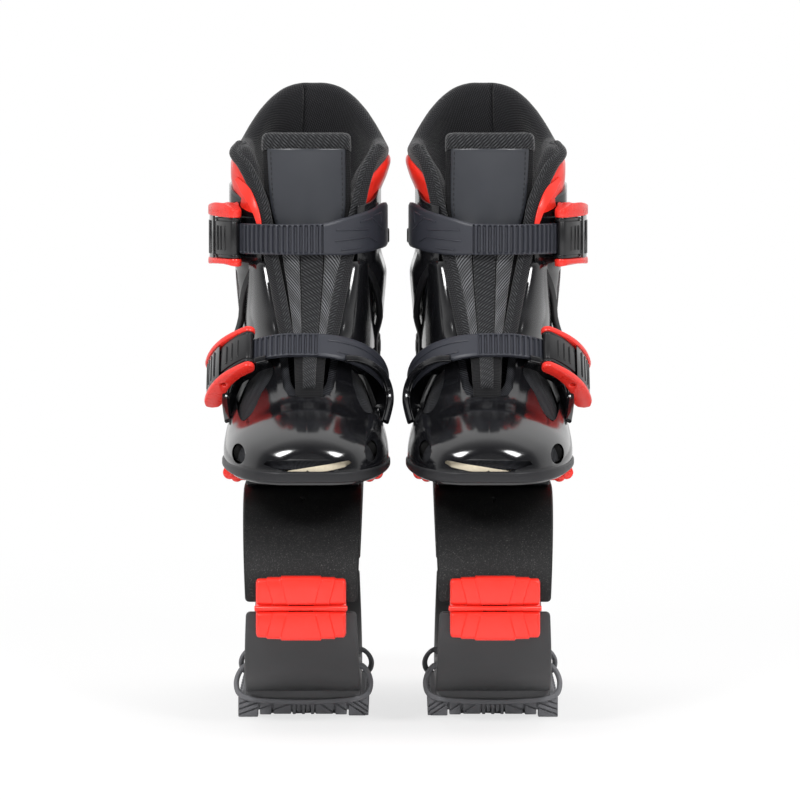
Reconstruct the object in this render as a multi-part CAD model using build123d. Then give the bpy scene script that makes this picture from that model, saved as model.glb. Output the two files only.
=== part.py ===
from build123d import *
import math
import os

# A pair of children's jumping boots: a plastic skate boot on a bow spring, made once and mirrored.
# Lengths are in millimetres. Z is up from the floor, the toes point along -Y, and the origin is on the
# floor between the two boots. Every piece is first drawn for the wearer's right boot with its middle
# at X = 0, where the buckles are on the -X side.

# Stance of the pair
boot_gap = 9.9

# Rubber outsole
tread_width = 88.0
tread_length = 124.0
tread_slab = 9.5
lug_height = 5.5
lug_length = 12.0
lug_gap = 4.5
lug_skew = 16.0
lug_rows = 7
lug_columns = 4
loop_strip = 3.4
loop_width = 9.0
loop_rise = 14.0
loop_lip = 6.5
loop_gap = 0.3

# Bow spring: two bows joined by a pin hinge at each end
hinge_height = 83.0
hinge_reach = 145.0
bow_thickness = 7.0
bow_flat_half = 45.0
bow_end_offset = 4.0
bow_curve_start = 7.0
bow_end_gap_half = 3.4
bow_corner = 6.0
lower_bow_half_foot = 39.0
lower_bow_half_hinge = 36.5
upper_bow_half_hinge = 37.0
upper_bow_half_top = 40.0
upper_bow_top = 157.0
bracket_height = 14.0
sole_height = upper_bow_top + bracket_height
foot_half_length = 62.0
foot_thickness = 8.5
drain_hole_radius = 2.5
drain_hole_reach = 88.0

# Hinge covers, pins and the tension band between the pins
hinge_width = 59.5
pin_radius = 3.0
pin_end = 1.3
running_gap = 0.05
open_pivot_gap = 0.5
barrel_radius = 5.2
barrel_gap = 0.3
band_eye_width = 16.2
cover_depth = 9.0
cover_height = 17.4
cover_fillet = 2.2
cover_bow_gap = 0.25
cover_lip_half_gap = 0.5
cover_rib_width = 3.2
cover_rib_depth = 0.9
cover_rib_inset = 2.4
cover_rib_place_shares = (-0.36, -0.2, 0.2, 0.36)
peg_radius = 3.0
peg_gap = 0.2
peg_place_share = 0.3
peg_head_radius = 4.6
peg_head = 2.2
peg_head_gap = 1.1
band_thickness = 4.0
band_half_width = 13.0
band_taper = 40.0

# Red bracket between the upper bow and the boot
bracket_half_width = 38.0
bracket_half_length = 70.0
bracket_wall = 4.0
bar_half_width = 51.5
bar_length = 24.0
bar_place = 56.0
bar_lift = 2.5
bar_fillet = 4.0
bolt_radius = 3.0
bolt_hole_gap = 0.1
bolt_head_radius = 6.0
bolt_head = 2.5
nut_radius = 5.5
nut_height = 4.0
bolt_boss_radius = 8.0
bolt_place_x = 22.0
bolt_place_y = 40.0

# Lower shell of the boot. From here on, heights are above the underside of the boot
toe_drop = 6.0
toe_drop_start = -92.0
toe_tip = -157.0
heel_end = 104.0
shell_half_width = 55.0
shell_wall = 3.2
shell_floor = 4.0
shell_crown = 130.0
toe_inward_shift = 4.5
rim_height = 8.6
rim_proud = 1.2
ankle_width_share = 0.81
station_shares = (0.0, 0.025, 0.07, 0.15, 0.25, 0.37, 0.5, 0.64, 0.77, 0.9, 0.97, 1.0)
width_shares = (0.42, 0.62, 0.79, 0.93, 1.0, 0.98, 0.89, 0.815, ankle_width_share, 0.73, 0.56, 0.36)
crown_shares = (0.2, 0.235, 0.28, 0.345, 0.42, 0.6, 0.84, 1.0, 1.0, 1.0, 0.96, 0.9)
shoulder_shares = (0.86, 0.84, 0.82, 0.8, 0.78, 0.74, 0.7, 0.9, 0.95, 0.95, 0.93, 0.92)
foot_width_share = 0.93
bulge_height_share = 0.32
shoulder_height_share = 0.72
shell_top = 90.0
shell_top_back_y = 14.0
shell_top_front_y = -46.0
shell_top_front = 135.0
throat_low = 48.0
throat_half_low = 15.5
throat_high = 159.0
throat_half_high = 33.0
slot_half_width = 29.0
slot_low = 1.0
slot_high = 9.0
slot_depth = 16.0
vent_y = -76.0
vent_z = 50.0
vent_length = 34.0
vent_height = 20.0
vent_tilt = 35.0
vent_inner_x = 20.0
side_hole_y = -122.0
side_hole_z = 16.0
side_hole_length = 14.0
side_hole_height = 9.0
strap_boss_radius = 9.0
strap_boss_root_x = 42.0

# Footbed, liner and tongue
footbed_thickness = 5.0
footbed_inset = 5.0
soft_gap = 0.4
liner_wall = 6.0
liner_throat_less = 3.6
tongue_thickness = 11.0
tongue_places_y = (-85.0, -60.0, -33.0, -20.5, -21.0)
tongue_places_z = (58.5, 82.0, 121.0, 167.0, 220.0)
tongue_back_shares = (0.0, 0.25, 0.5, 0.75, 1.0)
tongue_half_low = 10.6
tongue_half_neck = 23.5
tongue_neck_z = 135.0
tongue_half_top = 30.0
tongue_wide_z = 174.0
tongue_corner = 8.0

# Cuff around the ankle
ankle_y = 40.0
ankle_z = 74.0
cuff_wall = 3.0
cuff_half_x_low = 49.3
cuff_half_y_low = 68.3
cuff_middle_low = 40.0
cuff_half_x_top = 52.0
cuff_half_y_top = 64.0
cuff_middle_top = 34.0
cuff_corner_less = 1.5
cuff_low = 55.0
cuff_straight_to = 91.0
cuff_strap_from = 129.0
cuff_top = 185.0
cuff_top_front = 171.0
cuff_back_low = 96.5
cuff_lobe_half = 22.0
cuff_lobe_chamfer = 12.0
cuff_front_low_y = -14.0
cuff_front_low_z = 116.0
cuff_back_low_y = 78.0
cuff_gap_half = 31.5
cuff_gap_back_y = 4.0
rivet_radius = 4.0
rivet_head_radius = 9.0
rivet_head = 2.4

# Padded collar and its red side panels
collar_thickness = 12.0
collar_low = 97.0
collar_half_x_low = 45.7
collar_half_y_low = 60.0
collar_middle_low = 36.0
collar_bulge_z = 207.0
collar_half_x_bulge = 52.5
collar_half_y_bulge = 62.0
collar_half_x_top = 47.0
collar_half_y_top = 57.0
collar_middle_top = 34.0
collar_inner_flare = 4.0
collar_low_back_y = 18.0
collar_low_front_y = -36.0
collar_low_front = 164.0
collar_top = 256.0
collar_front_top = 213.0
collar_front_slope_y = 4.0
collar_side_top = 201.0
collar_dome_half = 36.0
collar_dome_z = 240.0
collar_crown_half = 12.0
collar_gap_half = 31.5
collar_gap_back_y = 2.0
panel_thickness = 1.6
panel_lift = 1.5
panel_high = 205.0
panel_front_y = -15.0
panel_back_y = 74.0
panel_inner_x = 33.0

# Ratchet straps
strap_thickness = 2.4
strap_seat = 2.2
strap_end = 12.0
ladder_width = 21.0
ladder_ribs = 15
ladder_rib = 1.5
ladder_rib_depth = 0.6
ladder_end_margin = 5.0
ladder_back = -30.0
ankle_strap_z = 150.5
ankle_plate_start = 13.0
ankle_plate_full = 26.0
ankle_plate_rise = 23.0
ankle_plate_drop = 11.5
instep_strap_width = 18.0
instep_y = -20.0
instep_z = 44.0
instep_slope = 52.0
instep_half_x = 53.0
instep_half_y = 56.0
instep_corner_less = 7.0
instep_plate_start = 24.0
instep_plate_full = 34.0
instep_plate_rise = 11.0
strap_rivet_radius = 2.5
strap_rivet_head_radius = 5.0
strap_rivet_head = 1.4
strap_rivet_root = 3.2

# Ratchet buckles, curved like the strap's corner: measured outward from their seat on the boot, and
# along the curve back from the lever's pin
ankle_pin_angle = 38.0
instep_pin_angle = 56.0
buckle_front = -4.5
buckle_plate_front = 5.5
buckle_back = 36.0
buckle_plate = 1.8
buckle_pad_depth = 18.0
buckle_ear = 2.2
buckle_side_gap = 0.9
buckle_pin_radius = 1.3
lever_pin_out = 7.6
ear_tip_radius = 3.2
lever_side = 2.6
lever_side_gap = 0.35
lever_back_gap = 0.7
lever_back = 2.0
lever_start = 2.0
lever_end = 50.0
lever_side_radius = 5.4
lever_depth = 3.6
release_pin_along = 25.0
release_front = 21.0
release_tip = 56.0
release_half_depth = 1.9
release_side_gap = 0.4

# The boots stand side by side, clear of each other by the gap between their strap rivets
strap_outside = strap_seat + strap_thickness + running_gap + strap_rivet_head
boot_half_width = max(cuff_half_x_top, instep_half_x) + strap_outside
boot_spacing = 2 * boot_half_width + boot_gap

# One overrun for every cut
over = 60.0


def sole_line(y):
    """Height of the underside of the boot at a place along the foot: level, and lower at the toe."""
    if y >= toe_drop_start:
        return 0.0
    return -toe_drop * (toe_drop_start - max(y, toe_tip)) / (toe_drop_start - toe_tip)


def side_prism(points):
    """A side view outline in Y and Z, carried right across the boot."""
    face = Plane.YZ * make_face(Polyline(*points, close=True))
    return extrude(face, amount=over + shell_half_width, both=True)


def front_prism(points):
    """A front view outline in X and Z, carried right through the boot from toe to heel."""
    face = Plane.XZ * make_face(Polyline(*points, close=True))
    return extrude(face, amount=over - toe_tip, both=True)


def layer_along_foot(low, high):
    """Everything between two heights above the boot's underside."""
    places = (toe_tip - over, toe_tip, toe_drop_start, heel_end + over)
    below = [(y, sole_line(y) + low) for y in places]
    above = [(y, sole_line(y) + high) for y in reversed(places)]
    return side_prism(below + above)


def x_bar(y, z, radius, low_x, high_x):
    """A round bar along X between two places."""
    plane = Plane(origin=(low_x, y, z), x_dir=(0, 1, 0), z_dir=(1, 0, 0))
    return extrude(plane * Circle(radius), amount=high_x - low_x)


def box_between(low, high):
    """A block from its lowest to its highest corner."""
    size = [end - start for start, end in zip(low, high)]
    middle = [(end + start) / 2 for start, end in zip(low, high)]
    return Pos(*middle) * Box(*size)


def toe_shift(y):
    """How far the foot's middle line turns inward at a place along it."""
    return toe_inward_shift * max(0.0, y / toe_tip)


def foot_section(y, half_width, crown, shoulder_share):
    """One upright slice of the boot's lower part: flat base, bulging sides and an arched top."""
    low = -toe_drop
    foot = half_width * foot_width_share
    shoulder = half_width * shoulder_share
    bulge_z = low + crown * bulge_height_share
    shoulder_z = low + crown * shoulder_height_share
    edges = [
        ThreePointArc((foot, low), (half_width, bulge_z), (shoulder, shoulder_z)),
        ThreePointArc((shoulder, shoulder_z), (0, low + crown), (-shoulder, shoulder_z)),
        ThreePointArc((-shoulder, shoulder_z), (-half_width, bulge_z), (-foot, low)),
        Line((-foot, low), (foot, low)),
    ]
    plane = Plane(origin=(toe_shift(y), y, 0), x_dir=(1, 0, 0), z_dir=(0, -1, 0))
    return plane * make_face(edges)


def foot_form(inset):
    """The outer form of the boot's lower part, drawn in all round by an inset."""
    start = toe_tip + inset
    end = heel_end - inset
    sections = []
    for station, width, crown, shoulder in zip(station_shares, width_shares, crown_shares, shoulder_shares):
        y = start + (end - start) * station
        section = foot_section(y, shell_half_width * width - inset, shell_crown * crown - inset, shoulder)
        sections.append(section)
    return loft(sections)


def foot_outline(grow):
    """The boot's outline seen from above, as a face level with its underside."""
    right = []
    left = []
    for station, width in zip(station_shares, width_shares):
        y = (toe_tip - grow) + (heel_end - toe_tip + 2 * grow) * station
        half = shell_half_width * width * foot_width_share + grow
        right.append((toe_shift(y) + half, y))
        left.append((toe_shift(y) - half, y))
    return make_face([Spline(*right), Spline(*left), Line(right[0], left[0]), Line(right[-1], left[-1])])


def make_outsole():
    """Rubber tread with skewed lugs, and a strip at each end that grips the foot of the bow."""
    top = lug_height + tread_slab
    half = tread_width / 2
    end = tread_length / 2
    body = box_between((-half, -end, lug_height), (half, end, top))
    tread_room = box_between((-half, -end, 0), (half, end, top))
    column = (tread_width - (lug_columns - 1) * lug_gap) / lug_columns
    row_pitch = (tread_length - lug_length) / (lug_rows - 1)
    lugs = []
    for row in range(lug_rows):
        for index in range(lug_columns):
            x = -half + column / 2 + index * (column + lug_gap)
            y = -end + lug_length / 2 + row * row_pitch
            skew = lug_skew if index % 2 else -lug_skew
            lug = Rot(0, 0, skew) * Box(column, lug_length - lug_gap / 2, 2 * lug_height)
            lugs.append(Pos(x, y, lug_height) * lug & tread_room)
    body = body.fuse(*lugs)
    grip_x = lower_bow_half_foot + loop_gap
    for way in (-1, 1):
        y = way * (end - loop_width / 2)
        for side in (-1, 1):
            ear = Box(loop_strip, loop_width, loop_rise + loop_strip)
            body += Pos(side * (grip_x + loop_strip / 2), y, top + (loop_rise - loop_strip) / 2) * ear
        lip = Box(2 * grip_x, loop_strip, loop_lip)
        body += Pos(0, way * (end + loop_strip / 2 + loop_gap / 2), top - loop_lip / 2) * lip
        joint = Box(2 * grip_x, loop_strip, loop_lip / 2)
        body += Pos(0, way * end, top - loop_lip / 2) * joint
    return body


def bow_face(direction, inset):
    """Side view of a filled bow, above (1) or below (-1) the hinge line, drawn in by an inset."""
    near = hinge_height + direction * bow_end_gap_half
    start = hinge_height + direction * bow_curve_start
    if direction > 0:
        far = upper_bow_top - inset
        start_angles = {-1: 90, 1: 0}
    else:
        far = lug_height + tread_slab + foot_thickness - bow_thickness + inset
        start_angles = {-1: 180, 1: 270}
    outer = hinge_reach - bow_end_offset + bow_thickness / 2 - inset
    edges = [
        Line((-outer, near), (outer, near)),
        Line((-bow_flat_half, far), (bow_flat_half, far)),
    ]
    for way in (-1, 1):
        middle = (way * bow_flat_half, start)
        angle = start_angles[way]
        reach = outer - bow_flat_half
        edges.append(EllipticalCenterArc(middle, reach, abs(far - start), start_angle=angle, arc_size=90))
        edges.append(Line((way * outer, near), (way * outer, start)))
    return make_face(edges)


def bow_plate(direction, grow, half_width):
    """The curved plate of one bow at an even width, grown on both faces."""
    outer = Plane.YZ * bow_face(direction, -grow)
    inner = Plane.YZ * bow_face(direction, bow_thickness + grow)
    plate = extrude(outer, amount=half_width, both=True)
    return plate - extrude(inner, amount=half_width + over, both=True)


def cover_face():
    """Distance of a bow's outer face at the hinge from the middle of the boot."""
    return hinge_reach - bow_end_offset + bow_thickness / 2


def peg_bars(way, direction, radius, inward, outward):
    """Round bars along Y where a hinge cover is pegged through the bow."""
    z = hinge_height + direction * (bow_end_gap_half + cover_height / 2)
    low = min(way * (cover_face() + outward), way * (cover_face() - inward))
    bars = []
    for side in (-1, 1):
        origin = (side * hinge_width * peg_place_share, low, z)
        plane = Plane(origin=origin, x_dir=(1, 0, 0), z_dir=(0, 1, 0))
        bars.append(extrude(plane * Circle(radius), amount=inward + outward))
    return bars


def make_bow(direction):
    """A whole bow: thick curved plate, flat in the middle, with slots and peg holes at the hinges."""
    widest = upper_bow_half_top
    side = bow_plate(direction, 0, widest)
    if direction > 0:
        half_near = upper_bow_half_hinge
        half_far = upper_bow_half_top
        far = upper_bow_top
    else:
        half_near = lower_bow_half_hinge
        half_far = lower_bow_half_foot
        far = lug_height + tread_slab
        foot_top = far + foot_thickness
        side += box_between((-widest, -foot_half_length, far), (widest, foot_half_length, foot_top))
    near = hinge_height + direction * bow_end_gap_half
    corner_z = near + direction * bow_corner
    bow = side & front_prism([
        (bow_corner - half_near, near),
        (half_near - bow_corner, near),
        (half_near, corner_z),
        (half_far, far),
        (-half_far, far),
        (-half_near, corner_z),
    ])
    slot_half = hinge_width / 2 + barrel_gap
    for way in (-1, 1):
        bow -= x_bar(way * hinge_reach, hinge_height, barrel_radius + barrel_gap, -slot_half, slot_half)
        for bar in peg_bars(way, direction, peg_radius + peg_gap, 2 * bow_thickness, cover_depth):
            bow -= bar
        if direction > 0:
            bow -= Pos(0, way * drain_hole_reach, upper_bow_top) * Cylinder(drain_hole_radius, over)
    if direction > 0:
        for x, y in bolt_places():
            bow -= Pos(x, y, upper_bow_top) * Cylinder(bolt_radius + bolt_hole_gap, over)
    return bow


def make_hinge_cover(way, direction, bore_gap):
    """Red hinge half: a ribbed plate over the end of a bow, two pegs through it and two knuckles."""
    half = hinge_width / 2
    face = cover_face() + cover_bow_gap
    front = face + cover_depth
    near = hinge_height + direction * bow_end_gap_half
    far = near + direction * cover_height
    lip = hinge_height + direction * cover_lip_half_gap
    plate = box_between(
        (-half, min(way * face, way * front), min(near, far)),
        (half, max(way * face, way * front), max(near, far)),
    )
    outer_face = plate.faces().sort_by(Axis.Y)[-1 if way > 0 else 0]
    plate = fillet(outer_face.edges(), cover_fillet)
    for share in cover_rib_place_shares:
        rib = Box(cover_rib_width, 2 * cover_rib_depth, cover_height - 2 * cover_rib_inset)
        plate += Pos(share * hinge_width, way * front, (near + far) / 2) * rib
    plate -= x_bar(way * hinge_reach, hinge_height, barrel_radius + barrel_gap, -half - over, half + over)
    eye_half = band_eye_width / 2
    length = (half - eye_half - 2 * barrel_gap) / 2
    inner_end = half - length if direction > 0 else eye_half + barrel_gap
    for side in (-1, 1):
        ends = sorted((side * inner_end, side * (inner_end + length)))
        knuckle = x_bar(way * hinge_reach, hinge_height, barrel_radius, ends[0], ends[1])
        depths = sorted((way * hinge_reach, way * (front - cover_fillet)))
        heights = sorted((lip, near + direction * cover_fillet))
        web = box_between((ends[0], depths[0], heights[0]), (ends[1], depths[1], heights[1]))
        plate += knuckle + web
    plate -= x_bar(way * hinge_reach, hinge_height, pin_radius + bore_gap, -half - over, half + over)
    through = bow_thickness + 2 * cover_bow_gap + peg_head_gap
    for bar in peg_bars(way, direction, peg_radius, through, cover_depth / 2):
        plate += bar
    for head in peg_bars(way, direction, peg_head_radius, through + peg_head, -through):
        plate += head
    return plate


def make_hinge_pin(way):
    """Steel pin through the knuckles and the band's eye, a little longer than the hinge."""
    half = hinge_width / 2 + pin_end
    return x_bar(way * hinge_reach, hinge_height, pin_radius, -half, half)


def make_tension_band():
    """Tough flat band between the two hinge pins, with an eye at each end."""
    half = band_eye_width / 2
    start = hinge_reach - barrel_radius / 2
    taper = start - band_taper
    outline = [(half, start), (band_half_width, taper), (band_half_width, -taper), (half, -start)]
    outline += [(-x, y) for x, y in reversed(outline)]
    plane = Plane.XY.offset(hinge_height - band_thickness / 2)
    band = extrude(plane * make_face(Polyline(*outline, close=True)), amount=band_thickness)
    for way in (-1, 1):
        band += x_bar(way * hinge_reach, hinge_height, barrel_radius, -half, half)
        band -= x_bar(way * hinge_reach, hinge_height, pin_radius + running_gap, -over, over)
    return band


def bolt_places():
    """The four bolts that hold the boot and the bracket on the upper bow."""
    return [(x, y) for x in (-bolt_place_x, bolt_place_x) for y in (-bolt_place_y, bolt_place_y)]


def make_bracket():
    """Red bracket: a walled block on the bow with a wide rounded bar under the ball and the heel."""
    wall = bracket_wall
    bracket = box_between(
        (-bracket_half_width, -bracket_half_length, upper_bow_top),
        (bracket_half_width, bracket_half_length, sole_height),
    )
    bracket -= box_between(
        (wall - bracket_half_width, wall - bracket_half_length, upper_bow_top + wall),
        (bracket_half_width - wall, bracket_half_length - wall, sole_height + over),
    )
    bar_height = sole_height - upper_bow_top - bar_lift
    for way in (-1, 1):
        place = Pos(0, way * bar_place, sole_height - bar_height / 2)
        bar = place * Box(2 * bar_half_width, bar_length, bar_height)
        ends = bar.faces().filter_by(Axis.X).edges().filter_by(Axis.Y).group_by(Axis.Z)[0]
        bracket += fillet(ends, bar_fillet)
    for x, y in bolt_places():
        height = sole_height - upper_bow_top
        bracket += Pos(x, y, upper_bow_top + height / 2) * Cylinder(bolt_boss_radius, height)
        bracket -= Pos(x, y, sole_height) * Cylinder(bolt_radius + bolt_hole_gap, over)
    return bracket


def make_bracket_bolts():
    """Four bolts with sunk heads in the boot's floor and nuts under the bow."""
    floor = sole_height + shell_floor
    under = upper_bow_top - bow_thickness
    bolts = Part()
    for x, y in bolt_places():
        shank_length = floor - under + nut_height
        shank = Pos(x, y, floor - shank_length / 2) * Cylinder(bolt_radius, shank_length)
        head = Pos(x, y, floor - bolt_head / 2) * Cylinder(bolt_head_radius, bolt_head)
        nut = Pos(x, y, under - nut_height / 2) * Cylinder(nut_radius, nut_height)
        bolts += shank + head + nut
    return bolts


def side_cuts(y, z, length, height, tilt):
    """A long rounded hole through both side walls of the lower shell."""
    plane = Plane(origin=(0, y, z), x_dir=(0, 1, 0), z_dir=(1, 0, 0))
    outline = plane * Rot(0, 0, tilt) * SlotOverall(length, height)
    hole = extrude(outline, amount=over + shell_half_width, both=True)
    middle = box_between((-vent_inner_x, y - over, z - over), (vent_inner_x, y + over, z + over))
    return hole - middle


def throat_cut(less):
    """The narrow V of the instep opening, drawn in by a margin on each side."""
    return front_prism([
        (less - throat_half_low, throat_low),
        (throat_half_low - less, throat_low),
        (throat_half_high - less, throat_high),
        (less - throat_half_high, throat_high),
    ]) & box_between((-over, toe_tip - over, throat_low - over), (over, shell_top_back_y, throat_high + over))


def below_ankle_line():
    """Everything under the sloping top edge of the boot's lower part."""
    return side_prism([
        (toe_tip - over, -over),
        (toe_tip - over, shell_top_front),
        (shell_top_front_y, shell_top_front),
        (shell_top_back_y, shell_top),
        (heel_end + over, shell_top),
        (heel_end + over, -over),
    ])


def make_lower_shell():
    """Hard glossy shell of the foot with its rim, toe slot, side vents, throat and strap bosses."""
    crown = shell_crown + over
    shell = foot_form(0) & layer_along_foot(0, crown)
    rim = extrude(foot_outline(rim_proud), amount=over, both=True) & layer_along_foot(0, rim_height)
    shell += rim
    shell += x_bar(instep_y, instep_z, strap_boss_radius, strap_boss_root_x, instep_half_x + strap_seat)
    pad = buckle_half_width("instep") + buckle_ear
    shell += strap_plane("instep").location * buckle_sector(
        "instep", (-buckle_pad_depth, 0), (buckle_plate_front, buckle_back), (-pad, pad)
    )
    shell -= foot_form(shell_wall) & layer_along_foot(shell_floor, crown)
    shell &= below_ankle_line()
    shell -= throat_cut(0)
    shell -= box_between(
        (toe_inward_shift - slot_half_width, toe_tip - over, slot_low),
        (toe_inward_shift + slot_half_width, toe_tip + slot_depth, slot_high),
    )
    shell -= side_cuts(vent_y, vent_z, vent_length, vent_height, vent_tilt)
    shell -= side_cuts(side_hole_y, side_hole_z, side_hole_length, side_hole_height, 0)
    for x, y in bolt_places():
        shell -= Pos(x, y, 0) * Cylinder(bolt_radius + bolt_hole_gap, over)
        room = Cylinder(bolt_head_radius + bolt_hole_gap, bolt_head + over)
        shell -= Pos(x, y, shell_floor - bolt_head + (bolt_head + over) / 2) * room
    shell -= x_bar(ankle_y, ankle_z, rivet_radius + running_gap, -over, over)
    shell -= x_bar(instep_y, instep_z, strap_rivet_radius + running_gap, 0, over)
    return shell


def make_footbed():
    """Pale insole board on the floor of the shell."""
    plan = extrude(foot_outline(-footbed_inset), amount=over, both=True)
    return plan & layer_along_foot(shell_floor, shell_floor + footbed_thickness)


def make_liner_foot():
    """Soft inner shoe, closed over the toes and open at the instep and the ankle."""
    base = shell_floor + footbed_thickness + soft_gap
    crown = shell_crown + over
    outer = foot_form(shell_wall + soft_gap) & layer_along_foot(base, crown)
    inner = foot_form(shell_wall + soft_gap + liner_wall) & layer_along_foot(base + liner_wall / 2, crown)
    liner = (outer - inner) & below_ankle_line()
    return liner - throat_cut(liner_throat_less)


def make_tongue():
    """Padded tongue: it fills the instep opening and widens in front of the shin."""
    front = Spline(*zip(tongue_places_y, tongue_places_z))
    back_points = []
    for share in tongue_back_shares:
        point = front @ share
        along = front % share
        back_points.append((point.X + along.Y * tongue_thickness, point.Y - along.X * tongue_thickness))
    back = Spline(*back_points)
    side = make_face([front, back, Line(front @ 0, back @ 0), Line(front @ 1, back @ 1)])
    tongue = extrude(Plane.YZ * side, amount=tongue_half_top, both=True)
    top = tongue_places_z[-1]
    low = tongue_places_z[0] - over
    half = tongue_half_top
    tongue &= front_prism([
        (-tongue_half_low, low),
        (tongue_half_low, low),
        (tongue_half_low, tongue_places_z[0]),
        (tongue_half_neck, tongue_neck_z),
        (half, tongue_wide_z),
        (half, top - tongue_corner),
        (half - tongue_corner, top + over),
        (tongue_corner - half, top + over),
        (-half, top - tongue_corner),
        (-half, tongue_wide_z),
        (-tongue_half_neck, tongue_neck_z),
        (-tongue_half_low, tongue_places_z[0]),
    ])
    return tongue


def rounded_face(z, half_x, half_y, corner_less, middle_y):
    """A level outline with broad round front and back, at a height."""
    radius = half_x - corner_less
    return Plane.XY.offset(z) * Pos(0, middle_y, 0) * RectangleRounded(2 * half_x, 2 * half_y, radius)


def cuff_form(inset):
    """The cuff's outer form, drawn in by an inset: upright at the ankle, then a little wider."""
    levels = (
        (cuff_low, cuff_half_x_low, cuff_half_y_low, cuff_middle_low),
        (cuff_straight_to, cuff_half_x_low, cuff_half_y_low, cuff_middle_low),
        (cuff_strap_from, cuff_half_x_top, cuff_half_y_top, cuff_middle_top),
        (cuff_top, cuff_half_x_top, cuff_half_y_top, cuff_middle_top),
    )
    faces = []
    for z, half_x, half_y, middle in levels:
        faces.append(rounded_face(z, half_x - inset, half_y - inset, cuff_corner_less, middle))
    return loft(faces, ruled=True)


def cuff_edge(y):
    """Height of the cuff's top edge, which climbs from the front to the back."""
    front = cuff_middle_top - cuff_half_y_top
    return cuff_top_front + (cuff_top - cuff_top_front) * (y - front) / (cuff_back_low_y - front)


def make_cuff():
    """Hard cuff, open in front, with a lobe on each side that reaches down to the ankle pivot."""
    cuff = cuff_form(0) - cuff_form(cuff_wall)
    lobe_front = ankle_y - cuff_lobe_half
    lobe_back = ankle_y + cuff_lobe_half
    front = cuff_middle_low - cuff_half_y_low - over
    back = cuff_middle_low + cuff_half_y_low + over
    cuff &= side_prism([
        (front, cuff_strap_from),
        (cuff_middle_top - cuff_half_y_top, cuff_strap_from),
        (cuff_front_low_y, cuff_front_low_z),
        (lobe_front, ankle_z),
        (lobe_front, cuff_low + cuff_lobe_chamfer),
        (lobe_front + cuff_lobe_chamfer, cuff_low),
        (lobe_back - cuff_lobe_chamfer, cuff_low),
        (lobe_back, cuff_low + cuff_lobe_chamfer),
        (lobe_back, ankle_z),
        (cuff_back_low_y, cuff_back_low),
        (back, cuff_back_low),
        (back, cuff_top),
        (cuff_back_low_y, cuff_top),
        (cuff_middle_top - cuff_half_y_top, cuff_top_front),
        (front, cuff_top_front),
    ])
    gap_low = (-cuff_gap_half, front, cuff_low - over)
    cuff -= box_between(gap_low, (cuff_gap_half, cuff_gap_back_y, cuff_top + over))
    pad_root = cuff_half_x_top - cuff_wall / 2
    pad_face = cuff_half_x_top + strap_seat
    cuff += x_bar(cuff_middle_top, ankle_strap_z, strap_boss_radius, pad_root, pad_face)
    cuff -= x_bar(ankle_y, ankle_z, rivet_radius + running_gap, -over, over)
    cuff -= x_bar(cuff_middle_top, ankle_strap_z, strap_rivet_radius + running_gap, 0, over)
    return cuff


def make_shell_rivets():
    """Ankle pivots: a broad headed rivet on each side, through the cuff and the shell."""
    rivets = Part()
    inner = shell_half_width * ankle_width_share - shell_wall
    for side in (-1, 1):
        outer = cuff_half_x_low + running_gap
        ends = sorted((side * inner, side * (outer + rivet_head)))
        shank = x_bar(ankle_y, ankle_z, rivet_radius, ends[0], ends[1])
        ends = sorted((side * outer, side * (outer + rivet_head)))
        head = x_bar(ankle_y, ankle_z, rivet_head_radius, ends[0], ends[1])
        rivets += shank + head
    return rivets


def collar_form(inset, flare):
    """The collar's outer form, drawn in by an inset that closes up by a flare at the top."""
    neck_x = cuff_half_x_top - cuff_wall - soft_gap
    neck_y = cuff_half_y_top - cuff_wall - soft_gap
    levels = (
        (collar_low, collar_half_x_low, collar_half_y_low, collar_middle_low, 0),
        (cuff_strap_from, neck_x, neck_y, cuff_middle_top, 0),
        (cuff_top + soft_gap, neck_x, neck_y, cuff_middle_top, 0),
        (collar_bulge_z, collar_half_x_bulge, collar_half_y_bulge, cuff_middle_top, 0),
        (collar_top, collar_half_x_top, collar_half_y_top, collar_middle_top, flare),
    )
    faces = []
    for z, half_x, half_y, middle, less in levels:
        inward = inset - less
        faces.append(rounded_face(z, half_x - inward, half_y - inward, cuff_corner_less, middle))
    return loft(faces, ruled=True)


def collar_trim():
    """What is kept of the collar: its sloped lower edge, dipped front and domed back."""
    front = collar_middle_top - collar_half_y_bulge - over
    crown_y = collar_middle_top + collar_half_y_bulge
    back = crown_y + over
    side = side_prism([
        (back, collar_low),
        (collar_low_back_y, collar_low),
        (collar_low_front_y, collar_low_front),
        (front, collar_low_front),
        (front, collar_front_top),
        (collar_front_slope_y, collar_front_top),
        (crown_y, collar_top),
        (back, collar_top),
    ])
    half = collar_half_x_bulge + collar_thickness
    dome = front_prism([
        (-half, collar_low - over),
        (half, collar_low - over),
        (half, collar_side_top),
        (collar_half_x_bulge, collar_side_top),
        (collar_dome_half, collar_dome_z),
        (collar_crown_half, collar_top),
        (-collar_crown_half, collar_top),
        (-collar_dome_half, collar_dome_z),
        (-collar_half_x_bulge, collar_side_top),
        (-half, collar_side_top),
    ])
    return side & dome


def make_liner_collar():
    """Thick padded collar inside the cuff, high at the back and open in front for the tongue."""
    collar = collar_form(0, 0) - collar_form(collar_thickness, collar_inner_flare)
    collar &= collar_trim()
    front = collar_middle_top - collar_half_y_bulge - over
    gap_low = (-collar_gap_half, front, collar_low - over)
    return collar - box_between(gap_low, (collar_gap_half, collar_gap_back_y, collar_top + over))


def make_collar_panels():
    """Red glossy panel on each side of the collar, above the cuff."""
    skin = collar_form(-panel_thickness - soft_gap / 2, 0) - collar_form(-soft_gap / 2, 0)
    skin &= side_prism([
        (panel_front_y, cuff_edge(panel_front_y) + panel_lift),
        (panel_back_y, cuff_edge(panel_back_y) + panel_lift),
        (panel_back_y, panel_high),
        (panel_front_y, panel_high),
    ])
    return skin - box_between((-panel_inner_x, -over, cuff_low), (panel_inner_x, 2 * over, collar_top))


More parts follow.
